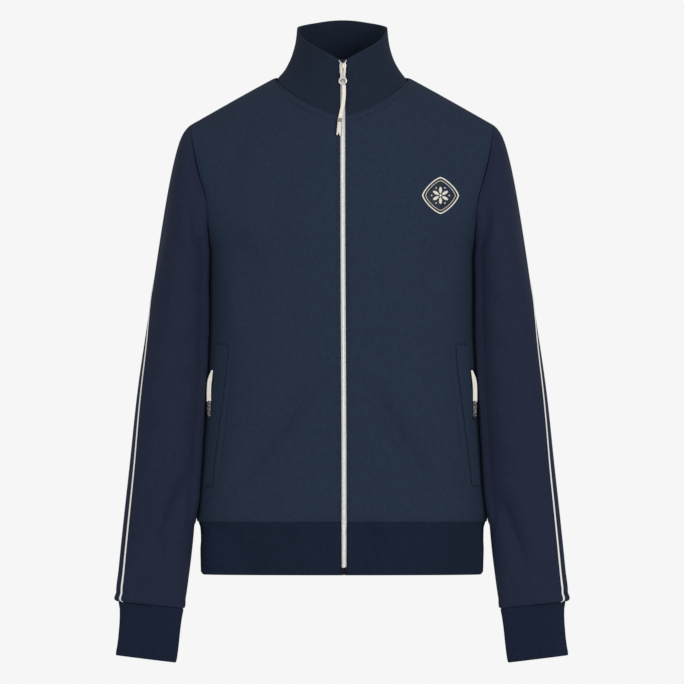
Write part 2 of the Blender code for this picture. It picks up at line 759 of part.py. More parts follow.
def edge_run(front, hem, collar):
    """Points behind the wearer's-left front edge, hem to collar: edge, margin and direction."""
    run = []
    for (points, normals), cloth in ((hem, RIB_CLOTH), (front, CLOTH), (collar, COLLAR_CLOTH)):
        for j in range(len(points[0])):
            spots = []
            for k in (0, 1):
                normal = Vector((0, normals[k][j].y, normals[k][j].z)).normalized()
                spots.append(points[k][j] - normal * cloth)
            run.append((spots[0], spots[1], Vector((0, normals[0][j].y,
                                                    normals[0][j].z)).normalized()))
    return run


def build_zip(run):
    """Two tapes behind the front edges and the closed chain between them."""
    centre = Vector((ZIP_X, 0, 0))
    inner_line, edge_line, margin_line, directions = [], [], [], []
    for edge, margin, normal in run:
        inner_line.append(Vector((SEAM_GAP / 2, edge.y, edge.z)))
        edge_line.append(edge)
        margin_line.append(margin)
        directions.append(normal)
    lines = [inner_line, edge_line, margin_line]
    face = [[p - n * SEAM_GAP for p, n in zip(line, directions)] for line in lines]
    rear = [[p - n * (SEAM_GAP + TAPE_THICKNESS) for p, n in zip(line, directions)] for line in lines]
    for side, sign in (("left", 1), ("right", -1)):
        walls = [[[Vector((p.x * sign, p.y, p.z)) + centre for p in line] for line in grid]
                 for grid in (face, rear)]
        add_object("zip_tape_" + side, wall_mesh(*walls), NAVY_RIB, 0.8)

    spine = [(Vector((0, p.y, p.z)), n) for p, n in zip(inner_line, directions)
             if BOX_TOP + 1.0 < p.z < CHAIN_TOP]
    spine = [at_height(run, BOX_TOP + SEAM_GAP)] + spine + [at_height(run, CHAIN_TOP)]
    half = CHAIN_WIDTH / 2
    outer = [[p + n * CHAIN_THICKNESS + Vector((x, 0, 0)) + centre for p, n in spine]
             for x in (-half, half)]
    inner = [[p + Vector((x, 0, 0)) + centre for p, n in spine] for x in (-half, half)]
    add_object("zip_chain", wall_mesh(outer, inner), WHITE, 0.4)


def at_height(run, z):
    """The front edge's inner face and direction at a height."""
    for (a, _, na), (b, _, nb) in zip(run, run[1:]):
        if a.z <= z <= b.z and b.z > a.z:
            share = (z - a.z) / (b.z - a.z)
            spot = a.lerp(b, share)
            return Vector((0, spot.y, spot.z)), na.lerp(nb, share).normalized()
    return Vector((0, run[-1][0].y, run[-1][0].z)), run[-1][2]


def block(width, low, high, rise, depth_low, depth_high):
    """A box laid along the front edge between two frames, from one depth to another."""
    bm = bmesh.new()
    corners = []
    for spot, normal in (low, high):
        for x in (-width / 2, width / 2):
            for depth in (depth_low, depth_high):
                corners.append(bm.verts.new(spot + normal * (depth + rise) + Vector((x + ZIP_X, 0, 0))))
    a, b, c, d, e, f, g, h = corners
    for face in ((a, b, d, c), (e, g, h, f), (a, c, g, e), (b, f, h, d), (a, e, f, b), (c, d, h, g)):
        bm.faces.new(face)
    return bm


def build_slider(run):
    """The slider over the chain's top, with the bridge that carries the pull. Gives its pivot."""
    low, high = at_height(run, SLIDER_BOTTOM), at_height(run, SLIDER_TOP)
    lift = COLLAR_CLOTH + SEAM_GAP
    slider = add_object("zip_slider", block(SLIDER_WIDTH, low, high, lift, 0.0, SLIDER_THICKNESS),
                        METAL, 0.35, 0.9)
    slope = (high[0] - low[0]).normalized()
    normal = low[1].lerp(high[1], 0.5).normalized()
    normal = (normal - slope * normal.dot(slope)).normalized()
    middle, _ = at_height(run, PIVOT_Z)
    clear = PIVOT_RADIUS + PIVOT_PLAY
    pivot = middle + normal * (lift + SLIDER_THICKNESS + clear) + Vector((ZIP_X, 0, 0))

    sill = -clear - BRIDGE_SINK
    paths = []
    for radius in (clear, clear + BRIDGE_THICKNESS):
        arc = [(radius * math.sin(math.pi * k / BRIDGE_STEPS),
                -radius * math.cos(math.pi * k / BRIDGE_STEPS)) for k in range(BRIDGE_STEPS + 1)]
        paths.append([(sill, -radius)] + arc + [(sill, radius)])
    sheets = [[[pivot + normal * depth + slope * along + Vector((x, 0, 0)) for depth, along in path]
               for path in paths] for x in (-BRIDGE_WIDTH / 2, BRIDGE_WIDTH / 2)]
    bridge = add_object("slider_bridge_cutter", wall_mesh(*sheets), METAL, 0.35, 0.9)
    combine(slider, bridge, "UNION")
    return pivot


def build_box(run):
    """The retainer box at the chain's foot."""
    low, high = at_height(run, BOX_BOTTOM), at_height(run, BOX_TOP)
    add_object("zip_box", block(BOX_WIDTH, low, high, BOX_RISE, 0.0, BOX_THICKNESS), METAL, 0.4, 0.6)


def combine(target, other, operation):
    """Adds one mesh to another or cuts it out, with the other kept out of sight."""
    change = target.modifiers.new(other.name, "BOOLEAN")
    change.operation = operation
    change.object = other
    other.hide_render = True
    other.display_type = "WIRE"


def slab(outline, place, half):
    """A flat plate of a given outline, half a thickness to each side of its plane."""
    bm = bmesh.new()
    sides = [[bm.verts.new(place(x, y, depth)) for x, y in outline] for depth in (-half, half)]
    bm.faces.new(sides[0])
    bm.faces.new(sides[1][::-1])
    for k in range(len(outline)):
        n = (k + 1) % len(outline)
        bm.faces.new((sides[0][k], sides[1][k], sides[1][n], sides[0][n]))
    return bm


def build_pull(pivot, run):
    """The pull: a crossbar under the bridge, two arms, a plate and a ring, all in one plane."""
    hinge = bpy.data.objects.new("pull_hinge", None)
    hinge.location = pivot * MM
    bpy.context.collection.objects.link(hinge)
    bpy.context.view_layer.update()

    ring_y = PULL_LENGTH - RING_OUTER
    ring_at, ring_normal = at_height(run, PIVOT_Z - ring_y)
    clearance = COLLAR_CLOTH + SEAM_GAP + SLIDER_THICKNESS + PIVOT_RADIUS + PIVOT_PLAY
    down = ring_at + ring_normal * clearance - pivot
    down.x = 0
    down.normalize()
    front = Vector((1, 0, 0)).cross(down)
    if front.y > 0:
        front.negate()

    def place(x, y, depth):
        return pivot + Vector((x, 0, 0)) + down * y + front * depth

    half = PULL_THICKNESS / 2
    arm_out, arm_in = PULL_WIDTH / 2, BRIDGE_WIDTH / 2 + SLOT_PLAY
    slot_end = PIVOT_RADIUS + SLOT_LENGTH
    shoulder = slot_end + half * 2
    start = math.atan2(RING_NECK_UP, RING_NECK_HALF)
    angles = [start - (math.pi + 2 * start) * k / RING_STEPS for k in range(RING_STEPS + 1)]
    ring = [(RING_OUTER * math.cos(a), ring_y - RING_OUTER * math.sin(a)) for a in angles]
    outline = [(arm_out, -PIVOT_RADIUS), (arm_out, shoulder)] + ring
    outline += [(-arm_out, shoulder), (-arm_out, -PIVOT_RADIUS)]
    pull = add_object("zip_pull_tab", slab(outline, place, half), METAL, 0.35, 0.9, parent=hinge)

    slot = [(-arm_in, PIVOT_RADIUS), (arm_in, PIVOT_RADIUS), (arm_in, slot_end), (-arm_in, slot_end)]
    rounds = [2 * math.pi * k / RING_STEPS for k in range(RING_STEPS)]
    eye = [(RING_HOLE * math.cos(a), ring_y + RING_HOLE_TALL * math.sin(a)) for a in rounds]
    for name, shape in (("pull_slot_cutter", slot), ("pull_eye_cutter", eye)):
        combine(pull, add_object(name, slab(shape, place, 2 * half), METAL, 0.35, 0.9), "DIFFERENCE")
    return hinge


def cord(name, route, diameter, parent=None):
    """A soft cord with filled ends along a smooth line through its route's points."""
    run = [0.0]
    for a, b in zip(route, route[1:]):
        run.append(run[-1] + (b - a).length)
    count = max(8, int(run[-1] / (1.2 * diameter)))
    points = resample(route, [k / count for k in range(count + 1)])
    curve = bpy.data.curves.new(name, "CURVE")
    curve.dimensions = "3D"
    curve.bevel_depth = diameter / 2 * MM
    curve.bevel_resolution = 2
    curve.use_fill_caps = True
    spline = curve.splines.new("POLY")
    spline.points.add(len(points) - 1)
    for spot, point in zip(spline.points, points):
        spot.co = (*(point * MM), 1.0)
    curve.materials.append(material(name, CREAM, 0.8))
    piece = bpy.data.objects.new(name, curve)
    bpy.context.collection.objects.link(piece)
    if parent:
        piece.parent = parent
        piece.matrix_parent_inverse = parent.matrix_world.inverted()
    return piece


def end_piece(name, route, bottom, across, parent=None):
    """The moulded end on a cord: a flat bar that swells where it grips the cord."""
    top = route[-1]
    down = (bottom - top).normalized()
    face = across.cross(down).normalized()
    across = down.cross(face).normalized()
    lean = down.cross((top - route[-2]).normalized()).length
    start = top + down * (SEAM_GAP + lean * END_WIDTH / 2)
    length = (bottom - start).length
    bm = bmesh.new()
    rings = []
    for share, wide, thick in END_STATIONS:
        centre = start + down * (length * share)
        half_w, half_t = END_WIDTH / 2 * wide, END_THICKNESS / 2 * thick
        flat_w, flat_t = half_w - END_CORNER, half_t - END_CORNER
        spots = ((-half_w, -flat_t), (-flat_w, -half_t), (flat_w, -half_t), (half_w, -flat_t),
                 (half_w, flat_t), (flat_w, half_t), (-flat_w, half_t), (-half_w, flat_t))
        rings.append([bm.verts.new(centre + across * x + face * y) for x, y in spots])
    for low, high in zip(rings, rings[1:]):
        for k in range(8):
            n = (k + 1) % 8
            bm.faces.new((low[k], low[n], high[n], high[k]))
    bm.faces.new(rings[0])
    bm.faces.new(rings[-1][::-1])
    add_object(name, bm, CREAM, 0.5, parent=parent)


def front_route(run, table):
    """A route's points, each lifted off the front edge's outer face."""
    route = []
    for row in table:
        spot, normal = at_height(run, row.z)
        route.append(Vector((row.x, spot.y, spot.z)) + normal * (CLOTH + row.lift))
    return route


def build_pull_cord(run, hinge):
    route = front_route(run, PULL_CORD)
    cord("zip_pull_cord", route, CORD_DIAMETER, hinge)
    bottom = front_route(run, (PULL_END_BOTTOM,))[0]
    end_piece("zip_pull_end", route, bottom, Vector((1, 0, 0)), hinge)


def side_route(table):
    route = []
    for row in table:
        turn = turn_at(row.x, row.z)
        route.append(torso_point(turn, row.z, -1) + torso_normal(turn, row.z, -1) * row.lift)
    return route


def build_pockets():
    """Each side pocket's welt, laid on the front, and the cord of its hidden zip."""
    rows = [WELT[0].z + (WELT[-1].z - WELT[0].z) * k / WELT_ROWS for k in range(WELT_ROWS + 1)]
    low, high = [], []
    for i in range(WELT_COLUMNS + 1):
        share = i / WELT_COLUMNS
        low_line, high_line = [], []
        for z in rows:
            near = column_at(WELT, "z", "front_x", z)
            far = column_at(WELT, "z", "back_x", z)
            turn = turn_at(near, z) + (turn_at(far, z) - turn_at(near, z)) * share
            spot, normal = torso_point(turn, z, -1), torso_normal(turn, z, -1)
            low_line.append(spot + normal * WELT_LIFT)
            high_line.append(spot + normal * (WELT_LIFT + WELT_THICKNESS))
        low.append(low_line)
        high.append(high_line)
    route = side_route(POCKET_CORD)
    bottom = side_route((POCKET_END_BOTTOM,))[0]
    last = POCKET_END_BOTTOM
    across = torso_normal(turn_at(last.x, last.z), last.z, -1).cross(bottom - route[-1])
    for side, sign in (("left", 1), ("right", -1)):
        flip = sign < 0
        walls = [mirrored(grid) for grid in (high, low)] if flip else (high, low)
        add_object("pocket_welt_" + side, wall_mesh(*walls), NAVY, 0.9)
        points = [Vector((p.x * sign, p.y, p.z)) for p in route]
        cord("pocket_cord_" + side, points, CORD_DIAMETER)
        end_piece("pocket_end_" + side, points, Vector((bottom.x * sign, bottom.y, bottom.z)),
                  Vector((across.x * sign, across.y, across.z)))


def main():
    for piece in list(bpy.data.objects):
        bpy.data.objects.remove(piece, do_unlink=True)
    front, back = body_panel(-1), body_panel(1)
    build_body(front, back)
    build_sleeves(sleeve_grid(front, back))
    build_cuffs()
    hem = hem_grid(front, back)
    build_hem(hem)
    collar = collar_grid(front, back)
    build_collar(collar)
    run = edge_run(front, hem, collar)
    build_zip(run)
    build_box(run)
    build_pull_cord(run, build_pull(build_slider(run), run))
    build_pockets()


main()
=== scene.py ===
"""Zip-up sweatshirt with a stand collar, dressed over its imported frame.

Metres throughout. +Z is up, the front faces -Y and +X is the wearer's left.
"""
import math

import bmesh
import bpy
import numpy as np
from mathutils import Matrix, Vector
from mathutils.bvhtree import BVHTree
from mathutils.kdtree import KDTree


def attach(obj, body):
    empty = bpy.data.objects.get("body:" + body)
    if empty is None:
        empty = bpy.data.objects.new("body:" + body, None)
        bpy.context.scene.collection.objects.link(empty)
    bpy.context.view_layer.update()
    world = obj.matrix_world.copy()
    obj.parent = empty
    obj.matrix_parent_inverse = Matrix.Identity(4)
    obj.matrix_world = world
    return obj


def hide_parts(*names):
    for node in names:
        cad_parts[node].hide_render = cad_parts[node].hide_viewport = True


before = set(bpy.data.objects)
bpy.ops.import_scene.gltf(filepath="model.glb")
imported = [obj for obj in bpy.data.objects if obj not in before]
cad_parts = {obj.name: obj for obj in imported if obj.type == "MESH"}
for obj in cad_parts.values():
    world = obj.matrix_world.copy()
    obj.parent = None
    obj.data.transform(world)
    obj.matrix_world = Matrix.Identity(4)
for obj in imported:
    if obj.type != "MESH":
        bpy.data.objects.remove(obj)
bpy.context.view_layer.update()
bpy.ops.object.select_all(action="DESELECT")

MM = 0.001

# ------------------------------------------------------------------ studio
# A catalogue photograph: a long lens level with the chest, a white room all round and soft
# light from both sides and above. The floor lies as far down as a standing wearer's feet.
FLOOR_Z = -1.42
CAMERA_DISTANCE = 20.0
CAMERA_HEIGHT = -0.343
FRAME_WIDTH = 0.889
SENSOR_WIDTH = 36
LIGHTS_AIM = (0, 0, -0.3)


def linear(hex_colour):
    """An sRGB hex colour as linear RGBA."""
    parts = [int(hex_colour[k:k + 2], 16) / 255 for k in (1, 3, 5)]
    return [c / 12.92 if c <= 0.04045 else ((c + 0.055) / 1.055) ** 2.4 for c in parts] + [1.0]


def add(tree, kind, sockets=None, **settings):
    """Adds a node with its settings; a socket takes a value or another node's output."""
    node = tree.nodes.new(kind)
    for key, value in settings.items():
        setattr(node, key, value)
    for key, value in (sockets or {}).items():
        if isinstance(value, bpy.types.NodeSocket):
            tree.links.new(value, node.inputs[key])
        else:
            node.inputs[key].default_value = value
    return node


camera = bpy.data.objects.new("studio_camera", bpy.data.cameras.new("studio_camera"))
bpy.context.collection.objects.link(camera)
camera.location = (0, -CAMERA_DISTANCE, CAMERA_HEIGHT)
camera.rotation_euler = (math.pi / 2, 0, 0)
camera.data.sensor_width = SENSOR_WIDTH
camera.data.lens = SENSOR_WIDTH * CAMERA_DISTANCE / FRAME_WIDTH
bpy.context.scene.camera = camera

room = bpy.data.worlds.new("white_room")
room.use_nodes = True
# The backdrop is lit by itself, so the room's light on the object is weaker than it looks.
seen = room.node_tree.nodes["Background"]
seen.inputs["Color"].default_value = linear("#F6F6F6")
seen.inputs["Strength"].default_value = 1.0
cast = add(room.node_tree, "ShaderNodeBackground", {"Color": linear("#F6F6F6"), "Strength": 0.5})
ray = add(room.node_tree, "ShaderNodeLightPath")
both = add(room.node_tree, "ShaderNodeMixShader", {0: ray.outputs["Is Camera Ray"],
                                                   1: cast.outputs[0], 2: seen.outputs[0]})
room.node_tree.links.new(both.outputs[0], room.node_tree.nodes["World Output"].inputs["Surface"])
bpy.context.scene.world = room
bpy.context.scene.view_settings.view_transform = "Standard"

bpy.ops.mesh.primitive_circle_add(vertices=96, radius=7, fill_type="NGON", location=(0, 0, FLOOR_Z))
floor = bpy.context.object
floor.name = "studio_floor"
paint = bpy.data.materials.new("matt_white_floor")
paint.use_nodes = True
shader = paint.node_tree.nodes["Principled BSDF"]
shader.inputs["Base Color"].default_value = linear("#F2F2F2")
shader.inputs["Roughness"].default_value = 0.9
floor.data.materials.append(paint)

for name, place, size, power in (("key_light", (2.1, -3.1, 0.7), 1.5, 54),
                                 ("fill_light", (-2.1, -3.2, -0.5), 2.2, 31),
                                 ("over_light", (0.0, -2.3, 2.6), 1.4, 13),
                                 ("top_light", (0.0, 0.9, 2.4), 2.6, 3)):
    lamp = bpy.data.lights.new(name, "AREA")
    lamp.size = size
    lamp.energy = power
    light = bpy.data.objects.new(name, lamp)
    bpy.context.collection.objects.link(light)
    light.location = place
    aim = Vector(LIGHTS_AIM) - light.location
    light.rotation_euler = aim.to_track_quat("-Z", "Y").to_euler()

# ------------------------------------------------------------------ zip pull's cord
# A narrow cotton tape threaded through the pull's ring and doubled, so two flat strands hang
# side by side. It's held by a pressed metal band above a moulded end.
PULL_CORD = [Vector(p) for p in (
    (0.0024, -0.0726, -0.01013), (0.0026, -0.0733, -0.01665), (0.0024, -0.07526, -0.02541),
    (0.0014, -0.07777, -0.03414), (-0.0006, -0.0816, -0.04387), (-0.0028, -0.08682, -0.05406))]
PULL_END = Vector((-0.0044, -0.09479, -0.07635))
CORD_WIDTH = 4.8 * MM
STRAND_WIDTH = 2.5 * MM
STRAND_THICKNESS = 1.5 * MM


def mesh_piece(name, bm):
    """A new object at the origin from a finished bmesh."""
    mesh = bpy.data.meshes.new(name)
    bm.to_mesh(mesh)
    bm.free()
    piece = bpy.data.objects.new(name, mesh)
    bpy.context.collection.objects.link(piece)
    return piece


def smooth_path(points, step):
    """Evenly spaced points of a rounded line through the given ones."""
    ends = [points[0] * 2 - points[1]] + list(points) + [points[-1] * 2 - points[-2]]
    fine = []
    for k in range(1, len(ends) - 2):
        a, b, c, d = ends[k - 1:k + 3]
        for s in range(20):
            t = s / 20
            fine.append(0.5 * (2 * b + (c - a) * t + (2 * a - 5 * b + 4 * c - d) * t * t
                               + (3 * b - a - 3 * c + d) * t ** 3))
    fine.append(points[-1])
    run = [0.0]
    for a, b in zip(fine, fine[1:]):
        run.append(run[-1] + (b - a).length)
    count = max(2, round(run[-1] / step))
    even, k = [], 0
    for s in range(count + 1):
        want = run[-1] * s / count
        while k < len(run) - 2 and run[k + 1] < want:
            k += 1
        share = (want - run[k]) / max(run[k + 1] - run[k], 1e-12)
        even.append(fine[k].lerp(fine[k + 1], min(1.0, share)))
    return even


def strand(bm, path, side, width, thickness, across_hint):
    """One strand of a doubled tape: a flat oval tube beside the cord's middle line."""
    sides = 12
    uv = bm.loops.layers.uv.verify()
    rings, run = [], 0.0
    for k, point in enumerate(path):
        along = (path[min(k + 1, len(path) - 1)] - path[max(k - 1, 0)]).normalized()
        across = (across_hint - along * across_hint.dot(along)).normalized()
        face = across.cross(along)
        if k:
            run += (point - path[k - 1]).length
        ring = []
        for s in range(sides):
            turn = 2 * math.pi * s / sides
            ring.append(bm.verts.new(point + across * (side + width / 2 * math.cos(turn))
                                     + face * (thickness / 2 * math.sin(turn))))
        rings.append((ring, run))
    for (low, a), (high, b) in zip(rings, rings[1:]):
        for s in range(sides):
            n = (s + 1) % sides
            quad = bm.faces.new((low[s], low[n], high[n], high[s]))
            for loop, spot in zip(quad.loops, ((s, a), (s + 1, a), (s + 1, b), (s, b))):
                loop[uv].uv = (spot[0] / sides * 6 * MM, spot[1])
            quad.smooth = True
    bm.faces.new(rings[0][0])
    bm.faces.new(rings[-1][0][::-1])


def doubled_cord(name, points, across_hint):
    """Both strands of a doubled tape as one piece."""
    path = smooth_path(points, 0.9 * MM)
    bm = bmesh.new()
    for sign in (-1, 1):
        strand(bm, path, sign * (CORD_WIDTH - STRAND_WIDTH) / 2, STRAND_WIDTH,
               STRAND_THICKNESS, across_hint)
    bmesh.ops.recalc_face_normals(bm, faces=bm.faces)
    return mesh_piece(name, bm), path


def cotton_tape():
    """Woven cotton tape, undyed: a cream herringbone, matt, with a little lint."""
    made = bpy.data.materials.new("woven_cotton_tape")
    made.use_nodes = True
    tree = made.node_tree
    shader = tree.nodes["Principled BSDF"]
    place = add(tree, "ShaderNodeUVMap").outputs["UV"]
    # Threads about 0.4 mm apart, drawn at 0.6 mm so that they show.
    slant = add(tree, "ShaderNodeMapping", {"Vector": place, "Rotation": (0, 0, 0.6)})
    weave = add(tree, "ShaderNodeTexWave", {"Vector": slant.outputs[0], "Scale": 260.0,
                                            "Distortion": 1.5, "Detail": 1.0})
    lint = add(tree, "ShaderNodeTexNoise", {"Vector": place, "Scale": 900.0, "Detail": 3.0})
    both = add(tree, "ShaderNodeMath", {0: weave.outputs["Fac"], 1: lint.outputs["Fac"]},
               operation="MULTIPLY")
    tone = add(tree, "ShaderNodeMix", {"Factor": both.outputs[0], "A": linear("#E4DED1"),
                                       "B": linear("#FBF8F1")}, data_type="RGBA")
    relief = add(tree, "ShaderNodeBump", {"Height": both.outputs[0], "Strength": 0.6,
                                          "Distance": 0.0003})
    tree.links.new(tone.outputs["Result"], shader.inputs["Base Color"])
    tree.links.new(relief.outputs[0], shader.inputs["Normal"])
    shader.inputs["Roughness"].default_value = 0.85
    shader.inputs["Sheen Weight"].default_value = 0.2
    return made


tape_cotton = cotton_tape()
pull_cord, pull_path = doubled_cord("pull_cord_tape", PULL_CORD, Vector((1, 0, 0)))
pull_cord.data.materials.append(tape_cotton)
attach(pull_cord, "zip_pull")
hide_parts("zip_pull_cord")

# ------------------------------------------------------------------ fronts and back
# Three panels of navy double-knit jersey, about 300 g a square metre, overlocked together at
# the shoulders and sides. The wearer's chest fills them, so they carry only broad soft folds.
ZIP_X = 1.0 * MM
ZIP_LEAN = 1.7 * MM
PANEL_LEVELS = 3
RIM_CREASE = 0.55


def fine_copy(node, name, levels, rim=RIM_CREASE):
    """A packed panel's own form, its triangles joined back to squares and rounded."""
    bm = bmesh.new()
    bm.from_mesh(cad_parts[node].data)
    bmesh.ops.remove_doubles(bm, verts=bm.verts, dist=1e-5)
    bmesh.ops.join_triangles(bm, faces=bm.faces, angle_face_threshold=math.radians(50),
                             angle_shape_threshold=math.radians(70))
    bm.verts.index_update()
    creases = {}
    for edge in bm.edges:
        if len(edge.link_faces) == 2 and edge.calc_face_angle() > math.radians(48):
            creases[tuple(sorted(v.index for v in edge.verts))] = rim
    mesh = bpy.data.meshes.new(name)
    mesh.from_pydata([v.co for v in bm.verts], [], [[v.index for v in f.verts] for f in bm.faces])
    bm.free()
    weights = mesh.attributes.new("crease_edge", "FLOAT", "EDGE")
    for edge in mesh.edges:
        weights.data[edge.index].value = creases.get(tuple(sorted(edge.vertices)), 0.0)
    piece = bpy.data.objects.new(name, mesh)
    bpy.context.collection.objects.link(piece)
    finish_with(piece, "SUBSURF", levels=levels, render_levels=levels)
    mesh.attributes.remove(mesh.attributes["crease_edge"])
    piece.data.shade_smooth()
    return piece


def finish_with(piece, kind, **settings):
    """Adds one modifier to a piece and applies it."""
    change = piece.modifiers.new(kind.lower(), kind)
    for key, value in settings.items():
        setattr(change, key, value)
    bpy.context.view_layer.objects.active = piece
    bpy.ops.object.modifier_apply(modifier=change.name)


def spots(piece):
    """All a mesh's points as an array."""
    flat = np.empty(len(piece.data.vertices) * 3, np.float32)
    piece.data.vertices.foreach_get("co", flat)
    return flat.reshape(-1, 3).astype(float)


def place_spots(piece, where):
    piece.data.vertices.foreach_set("co", np.ascontiguousarray(where, np.float32).ravel())
    piece.data.update()


def fade(value, low, high):
    """0 below low, 1 above high, smooth between."""
    t = np.clip((value - low) / (high - low), 0, 1)
    return t * t * (3 - 2 * t)


def fold(flat, line, width, height):
    """One soft fold: how far each place rises. line is points in mm, its ends die away."""
    knots = np.array(line, float) * MM
    best = np.full(len(flat), 1e9)
    share = np.zeros(len(flat))
    run, total = 0.0, sum(np.linalg.norm(b - a) for a, b in zip(knots, knots[1:]))
    for a, b in zip(knots, knots[1:]):
        span = b - a
        t = np.clip(((flat - a) @ span) / (span @ span), 0, 1)
        away = np.linalg.norm(flat - (a + t[:, None] * span), axis=1)
        near = away < best
        best = np.where(near, away, best)
        share = np.where(near, (run + t * np.linalg.norm(span)) / total, share)
        run += np.linalg.norm(span)
    ends = np.sin(np.pi * np.clip(share, 0, 1)) ** 0.6
    return height * MM * ends * np.exp(-(best / (width * MM)) ** 2)


def meet(piece, others):
    """Draws a panel's edges onto its neighbours' where they're sewn together."""
    tree = KDTree(sum(len(other) for other in others))
    k = 0
    for other in others:
        for place in other:
            tree.insert(place, k)
            k += 1
    tree.balance()
    where = spots(piece)
    for k, place in enumerate(where.copy()):
        near, _, far = tree.find(place)
        if far < 0.8 * MM:
            where[k] += (np.array(near) - place) * 0.55
    place_spots(piece, where)


def torso_outward(where):
    """Direction out of the body, level, for places round it."""
    way = np.stack([where[:, 0] / 0.185 ** 2, where[:, 1] / 0.105 ** 2, np.zeros(len(where))], 1)
    way /= np.maximum(np.linalg.norm(way, axis=1), 1e-9)[:, None]
    return way


# Folds of the body, seen from the front or the back: points (x, z), half width and height.
FRONT_FOLDS = (
    (((-141, -338), (-147, -400), (-155, -470), (-163, -533)), 2.0, -1.1),
    (((141, -338), (147, -400), (155, -470), (163, -533)), 2.0, -1.1),
    (((-197, -58), (-193, -96), (-186, -132), (-175, -162), (-173, -190)), 5, -1.8),
    (((196, -62), (193, -101), (186, -126), (176, -156), (172, -200)), 5, -1.8),
    (((-8, -55), (-36, -44), (-62, -29), (-80, -8)), 2.6, 1.3),
    (((10, -55), (38, -43), (63, -28), (81, -7)), 2.6, 1.3),
    (((-6, -61), (-37, -50), (-65, -34), (-84, -12)), 1.6, -1.0),
    (((8, -61), (39, -49), (66, -33), (85, -11)), 1.6, -1.0),
    (((24, -392), (62, -446), (96, -502), (128, -556)), 13, -8.3),
    (((52, -384), (92, -436), (130, -500), (150, -545)), 14, 3.5),
    (((-20, -372), (-58, -424), (-98, -474), (-140, -528)), 13, -8.0),
    (((-34, -470), (-70, -512), (-104, -552)), 14, 3.2),
    (((18, -560), (44, -600), (78, -640)), 11, -5.8),
    (((-172, -578), (-140, -604), (-110, -640)), 12, -5.4),
    (((-60, -570), (-48, -610), (-40, -645)), 10, 2.4),
    (((110, -575), (124, -612), (132, -642)), 10, 2.2),
    (((-118, -58), (-140, -96), (-152, -132)), 13, -3.5),
    (((122, -62), (146, -104), (158, -146)), 13, -4.0),
    (((150, -196), (128, -232), (96, -262)), 17, -3.8),
    (((-152, -190), (-130, -222), (-104, -246)), 17, -3.4),
    (((148, -240), (140, -300), (134, -352)), 15, 2.9),
    (((-150, -236), (-142, -296), (-138, -340)), 15, 2.7),
    (((-60, -110), (-88, -160), (-96, -220)), 26, -2.4),
    (((64, -300), (52, -352), (58, -410)), 24, -2.4),
)
BACK_FOLDS = (
    (((-150, -180), (-116, -232), (-84, -300)), 17, -5.0),
    (((154, -186), (122, -244), (96, -318)), 18, -5.5),
    (((-30, -60), (-4, -88), (28, -64)), 12, -2.8),
    (((-96, -420), (-52, -476), (-8, -540)), 18, -5.0),
    (((120, -400), (84, -470), (52, -548)), 17, -4.2),
    (((-140, -500), (-100, -540), (-70, -570)), 14, 2.9),
    (((10, -300), (22, -380), (14, -460)), 26, 2.9),
    (((-120, -575), (-88, -608), (-66, -642)), 12, -4.6),
    (((70, -572), (104, -612), (128, -642)), 12, -4.2),
    (((0, -566), (12, -606), (8, -640)), 11, 2.1),
    (((-166, -320), (-130, -342), (-92, -350)), 15, -3.4),
    (((168, -338), (128, -356), (96, -358)), 15, -2.9),
)


def settle_torso(where):
    """Where the body's folds carry places of any piece on it."""
    rise = np.zeros(len(where))
    flat = where[:, [0, 2]]
    front = fade(-where[:, 1], 0.012, 0.05) * fade(np.abs(where[:, 0] - ZIP_X), 0.008, 0.03)
    back = fade(where[:, 1], 0.012, 0.05)
    for line, width, height in FRONT_FOLDS:
        rise += front * fold(flat, line, width, height)
    for line, width, height in BACK_FOLDS:
        rise += back * fold(flat, line, width, height)
    moved = where + torso_outward(where) * rise[:, None]
    # The hem's seam is drawn up a little by its band.
    moved[:, 2] += (1.7 * MM * fade(-where[:, 2], 0.53, 0.571)
                    * (1 - fade(-where[:, 2], 0.595, 0.635)))
    # The fronts hang a little askew, so the zip leans to the wearer's left on its way down.
    moved[:, 0] += (ZIP_LEAN * fade(-where[:, 2], 0.12, 0.56) * fade(-where[:, 1], 0.0, 0.05)
                    * np.clip(1 - np.abs(where[:, 0] - ZIP_X) / 0.1, 0, 1))
    return moved


def lay_uv(piece, across, along):
    """Gives a piece its cloth map in metres: one value across the wales, one along them."""
    layer = piece.data.uv_layers.get("UVMap") or piece.data.uv_layers.new(name="UVMap")
    corner = np.empty(len(piece.data.loops), np.int32)
    piece.data.loops.foreach_get("vertex_index", corner)
    layer.data.foreach_set("uv", np.stack([across[corner], along[corner]],
                                          1).astype(np.float32).ravel())


def torso_uv(piece):
    where = spots(piece)
    turn = np.arctan2(where[:, 0] / 0.185, np.abs(where[:, 1]) / 0.105)
    lay_uv(piece, turn * 0.16 * np.where(where[:, 1] < 0, 1, -1), where[:, 2])


